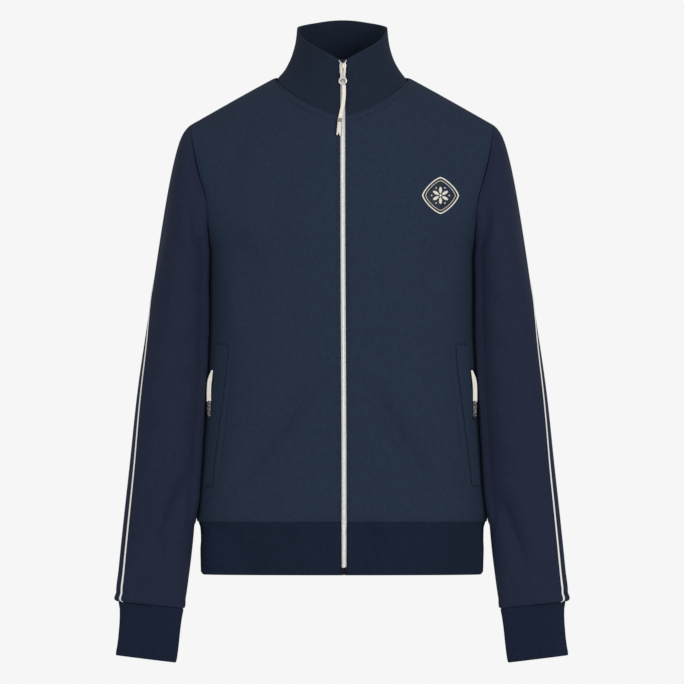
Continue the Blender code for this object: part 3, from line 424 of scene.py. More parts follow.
def jersey(name, shade, light, wale=1.5 * MM):
    """Combed cotton double knit, piece-dyed: matt, with a faint nap and uneven, felted loops."""
    made = bpy.data.materials.new(name)
    made.use_nodes = True
    tree = made.node_tree
    shader = tree.nodes["Principled BSDF"]
    place = add(tree, "ShaderNodeUVMap").outputs["UV"]
    solid = add(tree, "ShaderNodeTexCoord").outputs["Object"]
    # Loops are about 0.9 mm wide; they're drawn 1.5 mm wide so that they show.
    stretched = add(tree, "ShaderNodeMapping",
                    {"Vector": place, "Scale": (1 / wale, 0.55 / wale, 1)})
    loops = add(tree, "ShaderNodeTexNoise", {"Vector": stretched.outputs[0], "Scale": 1.0,
                                             "Detail": 2.0, "Roughness": 0.6})
    wales = add(tree, "ShaderNodeTexWave", {"Vector": stretched.outputs[0], "Scale": 0.16,
                                            "Distortion": 1.2, "Detail": 1.0}, bands_direction="X")
    nap = add(tree, "ShaderNodeTexNoise", {"Vector": solid, "Scale": 210.0, "Detail": 4.0,
                                           "Roughness": 0.65})
    dye = add(tree, "ShaderNodeTexNoise", {"Vector": solid, "Scale": 190.0, "Detail": 3.0})
    grain = add(tree, "ShaderNodeMath", {0: loops.outputs["Fac"], 1: nap.outputs["Fac"]},
                operation="MULTIPLY")
    blend = add(tree, "ShaderNodeMath", {0: grain.outputs[0], 1: 1.4, 2: dye.outputs["Fac"]},
                operation="MULTIPLY_ADD")
    share = add(tree, "ShaderNodeMapRange", {"Value": blend.outputs[0], "From Min": 0.45,
                                             "From Max": 1.3})
    tone = add(tree, "ShaderNodeMix", {"Factor": share.outputs[0], "A": linear(shade),
                                       "B": linear(light)}, data_type="RGBA")
    height = add(tree, "ShaderNodeMath",
                 {0: wales.outputs["Fac"], 1: 0.35, 2: loops.outputs["Fac"]},
                 operation="MULTIPLY_ADD")
    relief = add(tree, "ShaderNodeBump", {"Height": height.outputs[0], "Strength": 0.35,
                                          "Distance": 0.0005})
    tree.links.new(tone.outputs["Result"], shader.inputs["Base Color"])
    tree.links.new(relief.outputs[0], shader.inputs["Normal"])
    shader.inputs["Roughness"].default_value = 0.93
    shader.inputs["Specular IOR Level"].default_value = 0.2
    shader.inputs["Sheen Weight"].default_value = 0.05
    shader.inputs["Sheen Roughness"].default_value = 0.5
    shader.inputs["Sheen Tint"].default_value = linear("#8C9BB4")
    return made


body_panels = []
body_jersey = jersey("navy_body_jersey", "#1B2638", "#222F42")
for node, width, length, area in (("front_left", 0.235, 0.60, 0.125),
                                  ("front_right", 0.235, 0.60, 0.125), ("back", 0.47, 0.60, 0.26)):
    panel = fine_copy(node, node + "_cloth", PANEL_LEVELS)
    torso_uv(panel)
    place_spots(panel, settle_torso(spots(panel)))
    panel.data.materials.append(body_jersey)
    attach(panel, "garment")
    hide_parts(node)
    body_panels.append(panel)
panel_spots = [spots(panel) for panel in body_panels]
meet(body_panels[2], panel_spots[:2])
for panel in body_panels[:2]:
    meet(panel, panel_spots[2:])

# ------------------------------------------------------------------ sleeves
# Two panels a side, in the same jersey dyed a shade bluer. They hang a little bent at the
# elbow, so they fold along the inner arm and break softly above the cuff.
ARM_LINE = np.array(((0.189, -0.003, -0.142), (0.2035, -0.012, -0.247), (0.2175, -0.019, -0.374),
                     (0.2275, -0.021, -0.4665), (0.236, -0.022, -0.5595), (0.245, -0.021, -0.645),
                     (0.252, -0.020, -0.753)))

# Folds of each sleeve as for the body. Names give the wearer's side.
SLEEVE_FOLDS = {
    "right": (
        (((-196, -512), (-214, -556), (-234, -606), (-238, -640)), 10, -6.5),
        (((-214, -500), (-232, -546), (-252, -590)), 10, 3.9),
        (((-182, -150), (-186, -186), (-182, -224)), 9, -7.4),
        (((-199, -158), (-202, -196), (-196, -236)), 11, 5.2),
        (((-182, -262), (-200, -290), (-222, -304)), 10, -3.9),
        (((-184, -330), (-206, -352), (-236, -360)), 12, -3.5),
        (((-190, -392), (-214, -404), (-244, -398)), 12, -3.2),
        (((-196, -430), (-222, -446), (-252, -446)), 12, 2.9),
        (((-230, -150), (-240, -200), (-246, -252)), 14, -2.6),
        (((-246, -620), (-262, -648), (-280, -662)), 9, -3.6),
    ),
    "left": (
        (((200, -540), (220, -592), (240, -640)), 10, -6.5),
        (((216, -520), (240, -566), (258, -612)), 11, 3.6),
        (((183, -148), (180, -184), (178, -226)), 9, -6.5),
        (((200, -150), (198, -194), (194, -240)), 11, 4.8),
        (((182, -272), (204, -296), (226, -300)), 10, -3.6),
        (((188, -344), (212, -362), (240, -358)), 12, -3.9),
        (((192, -414), (220, -424), (250, -412)), 13, -3.0),
        (((198, -468), (226, -486), (256, -484)), 12, 2.9),
        (((232, -160), (242, -212), (248, -262)), 14, -2.5),
        (((250, -628), (266, -654), (282, -664)), 9, -3.2),
    ),
}
ELBOW_FOLDS = (
    (((196, -300), (224, -330), (250, -344)), 11, -4.5),
    (((190, -340), (222, -372), (256, -384)), 12, 3.4),
    (((192, -388), (226, -412), (262, -420)), 11, -4.9),
    (((200, -520), (230, -560), (262, -590)), 12, -3.8),
    (((196, -170), (214, -214), (222, -262)), 13, -4.1),
    (((226, -600), (250, -636), (276, -656)), 10, -3.4),
)


def arm_outward(where, side):
    """Direction out of an arm, and how far to its front each place lies (-1 to 1)."""
    line = ARM_LINE * np.array([side, 1, 1])
    best = np.full(len(where), 1e9)
    foot = np.zeros_like(where)
    for a, b in zip(line, line[1:]):
        span = b - a
        t = np.clip(((where - a) @ span) / (span @ span), 0, 1)
        spot = a + t[:, None] * span
        away = np.linalg.norm(where - spot, axis=1)
        near = away < best
        best = np.where(near, away, best)
        foot = np.where(near[:, None], spot, foot)
    way = where - foot
    way /= np.maximum(np.linalg.norm(way, axis=1), 1e-9)[:, None]
    return way, -way[:, 1]


def settle_sleeve(where, side_name):
    side = 1 if side_name == "left" else -1
    way, front = arm_outward(where, side)
    flat = where[:, [0, 2]]
    rise = np.zeros(len(where))
    ahead, behind = fade(front, 0.05, 0.6), fade(-front, 0.05, 0.6)
    for line, width, height in SLEEVE_FOLDS[side_name]:
        rise += ahead * fold(flat, line, width, height)
    mirrored = flat * np.array([side, 1])
    for k, (line, width, height) in enumerate(ELBOW_FOLDS):
        shift = 6 * (1 if side > 0 else -1) * (-1) ** k
        rise += behind * fold(mirrored, [(x, z + shift) for x, z in line], width, height)
    # The armhole's seam keeps its place, so the folds start a little away from it.
    rise *= fade(np.abs(where[:, 0]) - 0.182 + np.maximum(0, -0.2 - where[:, 2]), -0.004, 0.02)
    # The wider sleeve is eased onto the cuff and puffs out just above the seam.
    outer = fade(way[:, 0] * side, -0.3, 0.6)
    below = -where[:, 2] - 0.681 - 0.009 * np.clip((0.292 - np.abs(where[:, 0])) / 0.088, 0, 1)
    rise += 1.2 * MM * outer * fade(below, -0.045, -0.014)
    rise += ((1.2 + 2.4 * outer) * MM * fade(below, -0.013, -0.002)
             * (1 - 0.7 * fade(below, -0.001, 0.001)))
    moved = where + way * rise[:, None]
    moved[:, 2] += 2.4 * MM * fade(-where[:, 2], 0.655, 0.684)
    return moved


def skin_of(pieces):
    """All the faces of some pieces, to cast rays at."""
    corners, faces = [], []
    for piece in pieces:
        first = len(corners)
        corners += [v.co.copy() for v in piece.data.vertices]
        faces += [[first + k for k in f.vertices] for f in piece.data.polygons]
    return BVHTree.FromPolygons(corners, faces)


PRESS_GAP = 0.6 * MM
PRESS_MOST = 7 * MM
PRESS_RAY = 0.02
PRESS_NEAR = 6 * MM


def press_to_body(piece, skin, side):
    """Lays the inner side of a sleeve against the body where the two nearly meet."""
    mesh = piece.data
    where = spots(piece)
    way, _ = arm_outward(where, side)
    inner = way[:, 0] * -side
    moves = np.zeros(len(where))
    outer_wall = KDTree(len(where))
    for k, vertex in enumerate(mesh.vertices):
        if vertex.normal.dot(Vector(way[k])) < 0.2 or inner[k] < 0.0 or where[k, 2] > -0.165:
            continue
        hit, _, _, far = skin.ray_cast(vertex.co, Vector((-side, 0, 0)), PRESS_RAY)
        if hit:
            moves[k] = PRESS_MOST * math.tanh(max(0.0, far - PRESS_GAP) / PRESS_MOST)
        outer_wall.insert(vertex.co, k)
    outer_wall.balance()
    weight = (fade(inner, 0.0, 0.62) * fade(-where[:, 2], 0.165, 0.215)
              * (1 - fade(-where[:, 2], 0.54, 0.6)))
    shifts = np.zeros(len(where))
    for k, vertex in enumerate(mesh.vertices):
        if weight[k] > 0:
            _, near, far = outer_wall.find(vertex.co)
            if near is not None and far < PRESS_NEAR:
                shifts[k] = moves[near] * weight[k]
    where[:, 0] -= side * shifts
    place_spots(piece, where)


ARM_RADIUS = 0.055


def sleeve_uv(piece, side, face):
    """Across is measured round the arm from the front's or back's middle."""
    where = spots(piece)
    way, _ = arm_outward(where, side)
    turn = np.arctan2(way[:, 0] * side, way[:, 1] * face)
    lay_uv(piece, turn * ARM_RADIUS, where[:, 2])


sleeve_jersey = jersey("navy_sleeve_jersey", "#191F33", "#20273D")
body_skin = skin_of(body_panels)
for side_name, side in (("left", 1), ("right", -1)):
    sleeve_panels = []
    for part, face, width, area in (("sleeve_front_", -1, 0.165, 0.074),
                                    ("sleeve_back_", 1, 0.183, 0.088)):
        node = part + side_name
        panel = fine_copy(node, node + "_cloth", PANEL_LEVELS)
        sleeve_uv(panel, side, face)
        place_spots(panel, settle_sleeve(spots(panel), side_name))
        press_to_body(panel, body_skin, side)
        panel.data.materials.append(sleeve_jersey)
        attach(panel, "garment")
        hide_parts(node)
        sleeve_panels.append(panel)
    panel_spots = [spots(panel) for panel in sleeve_panels]
    for panel, other in zip(sleeve_panels, panel_spots[::-1]):
        meet(panel, [other])

# ------------------------------------------------------------------ sleeve piping
# A strip of white satin-faced bias tape folded over a thin filler cord and caught in the
# outer-arm seam, so only its rounded edge shows.
piping_satin = bpy.data.materials.new("white_bias_tape")
piping_satin.use_nodes = True
tree = piping_satin.node_tree
shader = tree.nodes["Principled BSDF"]
place = add(tree, "ShaderNodeTexCoord").outputs["Object"]
threads = add(tree, "ShaderNodeTexNoise", {"Vector": place, "Scale": 700.0, "Detail": 2.0})
tone = add(tree, "ShaderNodeMix", {"Factor": threads.outputs["Fac"], "A": linear("#CFCFCB"),
                                   "B": linear("#F4F3F0")}, data_type="RGBA")
relief = add(tree, "ShaderNodeBump", {"Height": threads.outputs["Fac"], "Strength": 0.3,
                                      "Distance": 0.0002})
tree.links.new(tone.outputs["Result"], shader.inputs["Base Color"])
tree.links.new(relief.outputs[0], shader.inputs["Normal"])
shader.inputs["Roughness"].default_value = 0.6
for side_name in ("left", "right"):
    strip = fine_copy("piping_" + side_name, "piping_tape_" + side_name, 3, rim=0.3)
    where = spots(strip)
    way, _ = arm_outward(where, 1 if side_name == "left" else -1)
    # From the elbow up the seam turns to the back and the piping sinks into it.
    sunk = -1.9 * MM * fade(where[:, 2], -0.29, -0.24)
    place_spots(strip, settle_sleeve(where + way * sunk[:, None], side_name))
    strip.data.materials.append(piping_satin)
    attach(strip, "garment")
    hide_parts("piping_" + side_name)

# ------------------------------------------------------------------ collar
# One band of the body's jersey, doubled and interfaced so that it stands by itself. It's
# topstitched along its rim and along the neck seam.
collar = fine_copy("collar", "collar_cloth", 3)
where = spots(collar)
lay_uv(collar, np.arctan2(where[:, 0], where[:, 1]) * 0.065, where[:, 2])
COLLAR_FOLDS = (
    (((-52, 22), (-50, -6), (-60, -34)), 9, -1.8),
    (((-34, 8), (-38, -18), (-44, -38)), 9, 0.9),
    (((52, 24), (56, -4), (62, -30)), 10, -1.3),
    (((28, 2), (34, -22), (40, -40)), 9, 0.7),
    (((-56, 44), (-34, 31), (-6, 14)), 1.7, -1.1),
    (((56, 44), (35, 31), (8, 14)), 1.7, -1.1),
    (((-56, 50), (-34, 37), (-6, 20)), 2.2, 0.6),
    (((56, 50), (35, 37), (8, 20)), 2.2, 0.6),
)
rise = np.zeros(len(where))
for line, width, height in COLLAR_FOLDS:
    rise += fade(-where[:, 1], 0.0, 0.03) * fold(where[:, [0, 2]], line, width, height)
where = where + torso_outward(where) * rise[:, None]
# Worn, the band has stretched up a little at the back.
where[:, 2] += 3.0 * MM * fade(where[:, 2], 0.008, 0.062) * fade(where[:, 1], -0.055, -0.005)
where[:, 2] += (1.3 * MM * fade(np.abs(where[:, 0]), 0.03, 0.055) * fade(where[:, 2], 0.02, 0.06)
                * fade(where[:, 1], -0.055, -0.01))
place_spots(collar, where)
# The collar's jersey colours are painted darker than the body's, although it is the same cloth:
# this darkness is painted shade.
collar.data.materials.append(jersey("navy_collar_jersey_painted_shade", "#141D2D", "#1A2638"))
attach(collar, "garment")
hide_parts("collar")

# ------------------------------------------------------------------ ribbed hem
# A doubled band of 1x1 rib knit, folded at its lower edge and stretched a little onto the body.
# Its ribs are modelled, 2 mm apart, because they catch the light.
RIB_PITCH = 2.0 * MM
RIB_DEPTH = 0.75 * MM
RIB_STEPS = 6
HEM_SECTIONS = ((-645.0, 181.5, 88.0, 86.0), (-641.0, 183.5, 90.0, 88.0),
                (-612.0, 184.4, 91.0, 89.0),
                (-584.0, 184.2, 91.0, 89.0), (-578.0, 188.0, 93.0, 91.0))
SECTION_POWER = 2.35
RIB_THICKNESS = 3.0
# How far in from the outer face, and how high: from the seam down, round the fold and up inside.
HEM_PROFILE = ((2.3, -576.0), (1.7, -577.6), (0.7, -579.6), (0.0, -583.0), (0.0, -587),
               (0.0, -594), (0.0, -603),
               (0.0, -612), (0.0, -621), (0.0, -630), (0.0, -637), (0.05, -641), (0.35, -643.4),
               (0.9, -644.7), (1.5, -645.0), (2.1, -644.7), (2.65, -643.4), (2.95, -641),
               (3.0, -637), (3.0, -624), (3.0, -610), (3.0, -594), (3.0, -582), (2.8, -577.6),
               (2.0, -576.7))


def section(table, z):
    """The sizes of a table of sections at one height, between its rows."""
    rows = sorted(table)
    return [float(np.interp(z, [row[0] for row in rows], [row[k] for row in rows]))
            for k in range(1, len(rows[0]))]


def hem_spot(turn, z, inward):
    """A point of the hem: turn runs from 0 at the front's middle to pi at the back's."""
    half, front, back = section(HEM_SECTIONS, z)
    depth = front if math.cos(turn) > 0 else back
    power = 2 / SECTION_POWER
    x = half * math.copysign(abs(math.sin(turn)) ** power, math.sin(turn))
    y = -depth * math.copysign(abs(math.cos(turn)) ** power, math.cos(turn))
    way = Vector((x / half ** 2 * abs(x / half) ** (SECTION_POWER - 2) if x else 0.0,
                  y / depth ** 2 * abs(y / depth) ** (SECTION_POWER
                                                      - 2) if y else 0.0, 0)).normalized()
    inward += 1.3 * math.exp(-((z + 600) / 10) ** 2) * (0.6 + 0.4 * math.sin(3 * turn + 1))
    spot = Vector((x, y, z)) - way * inward
    spot.x += 1.0 * max(0.0, 1 - abs(x) / 88.0)
    return spot * MM, way


def even_turns(ring, first, last, count, closed):
    """Turns that part a ring of the band into equal lengths."""
    fine = [first + (last - first) * k / 1200 for k in range(1201)]
    run = [0.0]
    before = ring(fine[0])
    for turn in fine[1:]:
        spot = ring(turn)
        run.append(run[-1] + (spot - before).length)
        before = spot
    wanted = np.linspace(0, run[-1], count + 1)
    turns = list(np.interp(wanted, run, fine))
    return turns[:-1] if closed else turns


def rib_band(name, profile, spot_at, turns, closed):
    """A band of rib knit: every column is its folded profile, pushed in between the ribs."""
    bm = bmesh.new()
    uv = bm.loops.layers.uv.verify()
    columns = []
    for k, turn in enumerate(turns):
        valley = 0.5 - 0.5 * math.cos(2 * math.pi * k / RIB_STEPS)
        column = []
        for level, (inward, z) in enumerate(profile):
            seam = min(level, len(profile) - 1 - level)
            depth = RIB_DEPTH / MM * valley ** 1.6 * min(1.0, 0.25 + seam / 3)
            face = 1 - 2 * min(1.0, inward / RIB_THICKNESS)
            column.append(bm.verts.new(spot_at(turn, z, inward + depth * face)))
        columns.append(column)
    count = len(columns)
    rows = len(profile)
    for k in range(count if closed else count - 1):
        n = (k + 1) % count
        for j in range(rows):
            m = (j + 1) % rows
            quad = bm.faces.new((columns[k][j], columns[n][j], columns[n][m], columns[k][m]))
            quad.smooth = True
            for loop, (i, h) in zip(quad.loops, ((k, j), (k + 1, j), (k + 1, j + 1), (k, j + 1))):
                loop[uv].uv = (i * RIB_PITCH / RIB_STEPS, h * 5 * MM)
    if not closed:
        bm.faces.new(columns[0])
        bm.faces.new(columns[-1][::-1])
    bmesh.ops.recalc_face_normals(bm, faces=bm.faces)
    return mesh_piece(name, bm)


def rib_knit():
    """1x1 rib of the same cotton, dyed with the body, with painted shade darkening its furrows."""
    made = bpy.data.materials.new("navy_rib_knit")
    made.use_nodes = True
    tree = made.node_tree
    shader = tree.nodes["Principled BSDF"]
    place = add(tree, "ShaderNodeUVMap").outputs["UV"]
    solid = add(tree, "ShaderNodeTexCoord").outputs["Object"]
    turned = add(tree, "ShaderNodeMapping", {"Vector": place, "Scale": (1 / RIB_PITCH, 1, 1)})
    # The furrows between the modelled ribs are painted darker, towards near black: painted shade.
    painted_furrow_shade = add(tree, "ShaderNodeTexWave", {"Vector": turned.outputs[0], "Scale": 0.159155 * 2,
                                             "Phase Offset": math.pi / 2}, bands_direction="X")
    nap = add(tree, "ShaderNodeTexNoise", {"Vector": solid, "Scale": 420.0, "Detail": 3.0})
    both = add(tree, "ShaderNodeMath", {0: painted_furrow_shade.outputs["Fac"], 1: 0.45, 2: nap.outputs["Fac"]},
               operation="MULTIPLY_ADD")
    tone = add(tree, "ShaderNodeMix", {"Factor": both.outputs[0], "A": linear("#03060E"),
                                       "B": linear("#18243A")}, data_type="RGBA")
    relief = add(tree, "ShaderNodeBump", {"Height": nap.outputs["Fac"], "Strength": 0.35,
                                          "Distance": 0.0003})
    tree.links.new(tone.outputs["Result"], shader.inputs["Base Color"])
    tree.links.new(relief.outputs[0], shader.inputs["Normal"])
    shader.inputs["Roughness"].default_value = 0.95
    shader.inputs["Specular IOR Level"].default_value = 0.2
    return made


navy_rib = rib_knit()
hem_edge = math.asin((4.3 / 186.0) ** (SECTION_POWER / 2))
hem_ribs = 462
hem = rib_band("hem_rib_knit", HEM_PROFILE, lambda turn, z, inward: hem_spot(turn, z, inward)[0],
               even_turns(lambda turn: hem_spot(turn, -612.0, 0)[0], hem_edge,
                          2 * math.pi - hem_edge, hem_ribs * RIB_STEPS, False), False)
place_spots(hem, settle_torso(spots(hem)))
hem.data.materials.append(navy_rib)
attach(hem, "garment")
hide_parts("hem_rib")

# ------------------------------------------------------------------ ribbed cuffs
# Tubes of the same rib knit, folded at the wrist. The sleeve's wider end is eased onto them.
# Rows: outer point (x, z), inner point (x, z), half the depth.
CUFF_SECTIONS = ((-0.1, 292.2, -673.4, 204.0, -682.4, 19.0),
                 (0.0, 291.0, -679.9, 205.0, -688.9, 18.0),
                 (0.09, 288.7, -686.0, 207.0, -696.0, 16.5),
                 (0.33, 288.6, -703.0, 209.5, -713.0, 15.0),
                 (0.76, 291.0, -732.0, 212.5, -742.0, 13.5),
                 (1.0, 294.3, -749.6, 215.0, -759.4, 12.5))
CUFF_POWER = 2.2
# The last rows are the seam's allowance, which stands up inside the sleeve.
CUFF_PROFILE = ((1.5, 0.0), (0.5, 0.014), (0.0, 0.05), (0.0, 0.14), (0.0, 0.26), (0.0, 0.40),
                (0.0, 0.54), (0.0, 0.68), (0.0, 0.82), (0.0, 0.93), (0.3, 0.975), (0.9, 0.995),
                (1.5, 1.0), (2.1, 0.995), (2.7, 0.975), (3.0, 0.93), (3.0, 0.76), (3.0, 0.54),
                (3.0, 0.30), (3.0, 0.08), (3.3, 0.0), (3.5, -0.05), (3.4, -0.095), (2.9, -0.1),
                (2.5, -0.095), (2.3, -0.04), (2.1, 0.0))


def cuff_spot(side):
    def spot_at(turn, share, inward):
        out_x, out_z, in_x, in_z, half = section(CUFF_SECTIONS, share)
        out, inn = Vector((out_x, 0, out_z)), Vector((in_x, 0, in_z))
        wide = (out - inn).length / 2
        power = 2 / CUFF_POWER
        along = math.copysign(abs(math.cos(turn)) ** power, math.cos(turn))
        across = math.copysign(abs(math.sin(turn)) ** power, math.sin(turn))
        middle = (out + inn) / 2 + Vector((0, -20.0, 0))
        level = (out - inn).normalized()
        steer = Vector((along * abs(along) ** (CUFF_POWER - 2) / wide,
                        across * abs(across) ** (CUFF_POWER - 2) / half)).normalized()
        spot = (middle + level * (along * wide - steer.x * inward)
                + Vector((0, -(across * half - steer.y * inward), 0)))
        return Vector((spot.x * side, spot.y, spot.z)) * MM
    return spot_at


CUFF_FOLDS = (
    (((222, -700), (228, -722), (230, -750)), 7, -0.8),
    (((262, -694), (266, -716), (272, -742)), 7, -0.7),
)
for side_name, side in (("left", 1), ("right", -1)):
    ring = cuff_spot(side)
    cuff = rib_band("cuff_rib_knit_" + side_name, CUFF_PROFILE, ring,
                    even_turns(lambda turn: ring(turn, 0.5, 0), 0, 2 * math.pi, 90 * RIB_STEPS,
                               True),
                    True)
    where = spots(cuff)
    way, ahead = arm_outward(where, side)
    rise = np.zeros(len(where))
    for line, width, height in CUFF_FOLDS:
        rise += fade(np.abs(ahead), 0.2, 0.8) * fold(where[:, [0, 2]] * np.array([side, 1]), line,
                                                     width, height)
    place_spots(cuff, where + way * rise[:, None])
    cuff.data.materials.append(navy_rib)
    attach(cuff, "garment")
    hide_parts("cuff_" + side_name)

# ------------------------------------------------------------------ zip tapes and coil
# A separating #5 zip: two woven polyester tapes sewn behind the front edges, each carrying a
# coil of white nylon monofilament whose turns mesh down the middle.
FRONT_EDGE = ((-645.0, -85.0), (-640.7, -87.0), (-612.0, -88.0), (-592.0, -88.0), (-584.0, -88.0),
              (-577.3, -91.3), (-568.8, -95.2), (-540.2, -97.0), (-511.4, -98.4), (-482.7, -99.7),
              (-453.9, -100.8), (-425.2, -101.9), (-396.4, -103.4), (-367.6, -105.2),
              (-338.8, -107.4), (-310.1, -110.2), (-281.3, -112.9), (-252.7, -115.4),
              (-224.1, -115.0), (-207.0, -113.8), (-189.9, -112.2), (-172.8, -110.2),
              (-155.7, -107.8), (-138.6, -104.8), (-121.4, -101.3), (-104.3, -97.3),
              (-87.3, -92.6), (-70.2, -87.2), (-53.1, -80.8), (-45.3, -76.4), (-34.9, -72.2),
              (-20.0, -67.8), (0.7, -64.3), (22.9, -63.3))
COIL_PITCH = 1.3 * MM
COIL_TOP = 16.0 * MM
COIL_BOTTOM = -635.0 * MM
WIRE_RADIUS = 0.46 * MM
# One turn of the coil: across from the zip's middle and out from the tape, mm.
COIL_TURN = ((2.95, 0.5), (2.85, 1.25), (2.2, 1.6), (1.0, 1.68), (-0.35, 1.5), (-0.75, 0.9))


def edge_frame(z):
    """The front edge's inner face at a height, and the direction out of it."""
    z_mm = z / MM
    y = float(np.interp(z_mm, [row[0] for row in FRONT_EDGE], [row[1] for row in FRONT_EDGE]))
    rise = [float(np.interp(z_mm + step, [row[0] for row in FRONT_EDGE],
                            [row[1] for row in FRONT_EDGE])) for step in (-6, 6)]
    way = Vector((0, -12.0, rise[1] - rise[0])).normalized()
    return Vector((ZIP_X, y * MM, z)), way


coil_spine = [Vector((ZIP_X, y * MM, z * MM)) for z, y in FRONT_EDGE
              if COIL_BOTTOM < z * MM < COIL_TOP]
coil_spine = [edge_frame(COIL_BOTTOM)[0]] + coil_spine + [edge_frame(COIL_TOP)[0]]
for side_name, side in (("left", 1), ("right", -1)):
    bm = bmesh.new()
    path = smooth_path(coil_spine, COIL_PITCH / 2)
    for k in range(1 + (side > 0), len(path) - 1, 2):
        along = (path[k + 1] - path[k - 1]).normalized()
        out = Vector((0, -along.z, along.y))
        rings = []
        for s, (x, up) in enumerate(COIL_TURN):
            a = COIL_TURN[max(s - 1, 0)]
            b = COIL_TURN[min(s + 1, len(COIL_TURN) - 1)]
            heading = Vector((b[0] - a[0], b[1] - a[1])).normalized()
            lean = along * (0.12 * MM * (2 - s))
            centre = path[k] + Vector((x * side * MM, 0, 0)) + out * (up * MM) + lean
            square = Vector((-heading.y * side, 0, 0)) + out * heading.x
            thick = WIRE_RADIUS * (0.75 if s in (0, len(COIL_TURN) - 1) else 1.0)
            rings.append([bm.verts.new(centre + square * (thick * math.sin(t * math.pi / 3))
                                       + along * (thick * math.cos(t * math.pi / 3)))
                          for t in range(6)])
        for low, high in zip(rings, rings[1:]):
            for t in range(6):
                bm.faces.new((low[t], low[(t + 1) % 6], high[(t + 1) % 6], high[t])).smooth = True
        bm.faces.new(rings[0][::-1])
        bm.faces.new(rings[-1])
    bmesh.ops.recalc_face_normals(bm, faces=bm.faces)
    coil = mesh_piece("zip_coil_" + side_name, bm)
    place_spots(coil, settle_torso(spots(coil)))
    if side > 0:
        nylon = bpy.data.materials.new("white_nylon_coil")
        nylon.use_nodes = True
        tree = nylon.node_tree
        shader = tree.nodes["Principled BSDF"]
        place = add(tree, "ShaderNodeTexCoord").outputs["Object"]
        cloudy = add(tree, "ShaderNodeTexNoise", {"Vector": place, "Scale": 240.0, "Detail": 2.0})
        tone = add(tree, "ShaderNodeMix", {"Factor": cloudy.outputs["Fac"], "A": linear("#EEECEA"),
                                           "B": linear("#FCFBFA")}, data_type="RGBA")
        tree.links.new(tone.outputs["Result"], shader.inputs["Base Color"])
        shader.inputs["Roughness"].default_value = 0.38
        shader.inputs["IOR"].default_value = 1.53
        shader.inputs["Subsurface Weight"].default_value = 0.1
        shader.inputs["Subsurface Scale"].default_value = 0.001
    coil.data.materials.append(nylon)
    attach(coil, "garment")
    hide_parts("zip_chain")

# The last turns of each coil, melted to a point, stand apart above the slider.
for side_name, side in (("left", 1), ("right", -1)):
    bm = bmesh.new()
    foot, out = edge_frame(15.5 * MM)
    rings = []
    for x, up, thick in ((1.6, 0.0, 0.75), (2.6, 2.6, 0.7), (3.9, 5.0, 0.55), (4.9, 6.6, 0.25)):
        centre = foot + out * 2.2 * MM + Vector((x * side, 0, up)) * MM
        rings.append([bm.verts.new(centre + Vector((math.cos(t * math.pi / 4), 0,
                                                    math.sin(t * math.pi / 4) * -0.4))
                                   * thick * MM + out * (math.sin(t * math.pi / 4) * thick * MM))
                      for t in range(8)])
    for low, high in zip(rings, rings[1:]):
        for t in range(8):
            bm.faces.new((low[t], low[(t + 1) % 8], high[(t + 1) % 8], high[t])).smooth = True
    bm.faces.new(rings[0][::-1])
    bm.faces.new(rings[-1])
    bmesh.ops.recalc_face_normals(bm, faces=bm.faces)
    tip = mesh_piece("zip_coil_tip_" + side_name, bm)
    tip.data.materials.append(nylon)
    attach(tip, "garment")

tape_weave = bpy.data.materials.new("woven_polyester_tape")
tape_weave.use_nodes = True
tree = tape_weave.node_tree
shader = tree.nodes["Principled BSDF"]
place = add(tree, "ShaderNodeTexCoord").outputs["Object"]
turned = add(tree, "ShaderNodeMapping", {"Vector": place, "Rotation": (0, 0.7, 0)})
twill = add(tree, "ShaderNodeTexWave", {"Vector": turned.outputs[0], "Scale": 260.0,
                                        "Distortion": 0.6}, bands_direction="X")
tone = add(tree, "ShaderNodeMix", {"Factor": twill.outputs["Fac"], "A": linear("#0D1420"),
                                   "B": linear("#1C2636")}, data_type="RGBA")
relief = add(tree, "ShaderNodeBump", {"Height": twill.outputs["Fac"], "Strength": 0.4,
                                      "Distance": 0.0002})
tree.links.new(tone.outputs["Result"], shader.inputs["Base Color"])
tree.links.new(relief.outputs[0], shader.inputs["Normal"])
shader.inputs["Roughness"].default_value = 0.7
for side_name in ("left", "right"):
    tape = fine_copy("zip_tape_" + side_name, "zip_tape_weave_" + side_name, 1, rim=0.9)
    place_spots(tape, settle_torso(spots(tape)))
    tape.data.materials.append(tape_weave)
    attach(tape, "garment")
    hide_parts("zip_tape_" + side_name)

# ------------------------------------------------------------------ slider, pull and box
# Die-cast zinc, plated and tumbled to a pale satin: the slider's top plate with its bridge,
# the pull that hangs from it on a crossbar, and the pressed box at the zip's foot.
plated = bpy.data.materials.new("satin_plated_zinc")
plated.use_nodes = True
tree = plated.node_tree
shader = tree.nodes["Principled BSDF"]
place = add(tree, "ShaderNodeTexCoord").outputs["Object"]
tumble = add(tree, "ShaderNodeTexNoise", {"Vector": place, "Scale": 520.0, "Detail": 4.0})
tone = add(tree, "ShaderNodeMix", {"Factor": tumble.outputs["Fac"], "A": linear("#CFC9BD"),
                                   "B": linear("#F2EEE4")}, data_type="RGBA")
worn = add(tree, "ShaderNodeMapRange", {"Value": tumble.outputs["Fac"], "To Min": 0.22,
                                        "To Max": 0.42})
tree.links.new(tone.outputs["Result"], shader.inputs["Base Color"])
tree.links.new(worn.outputs[0], shader.inputs["Roughness"])
shader.inputs["Metallic"].default_value = 0.85

PIVOT = Vector((1.0, -69.32, 13.75)) * MM


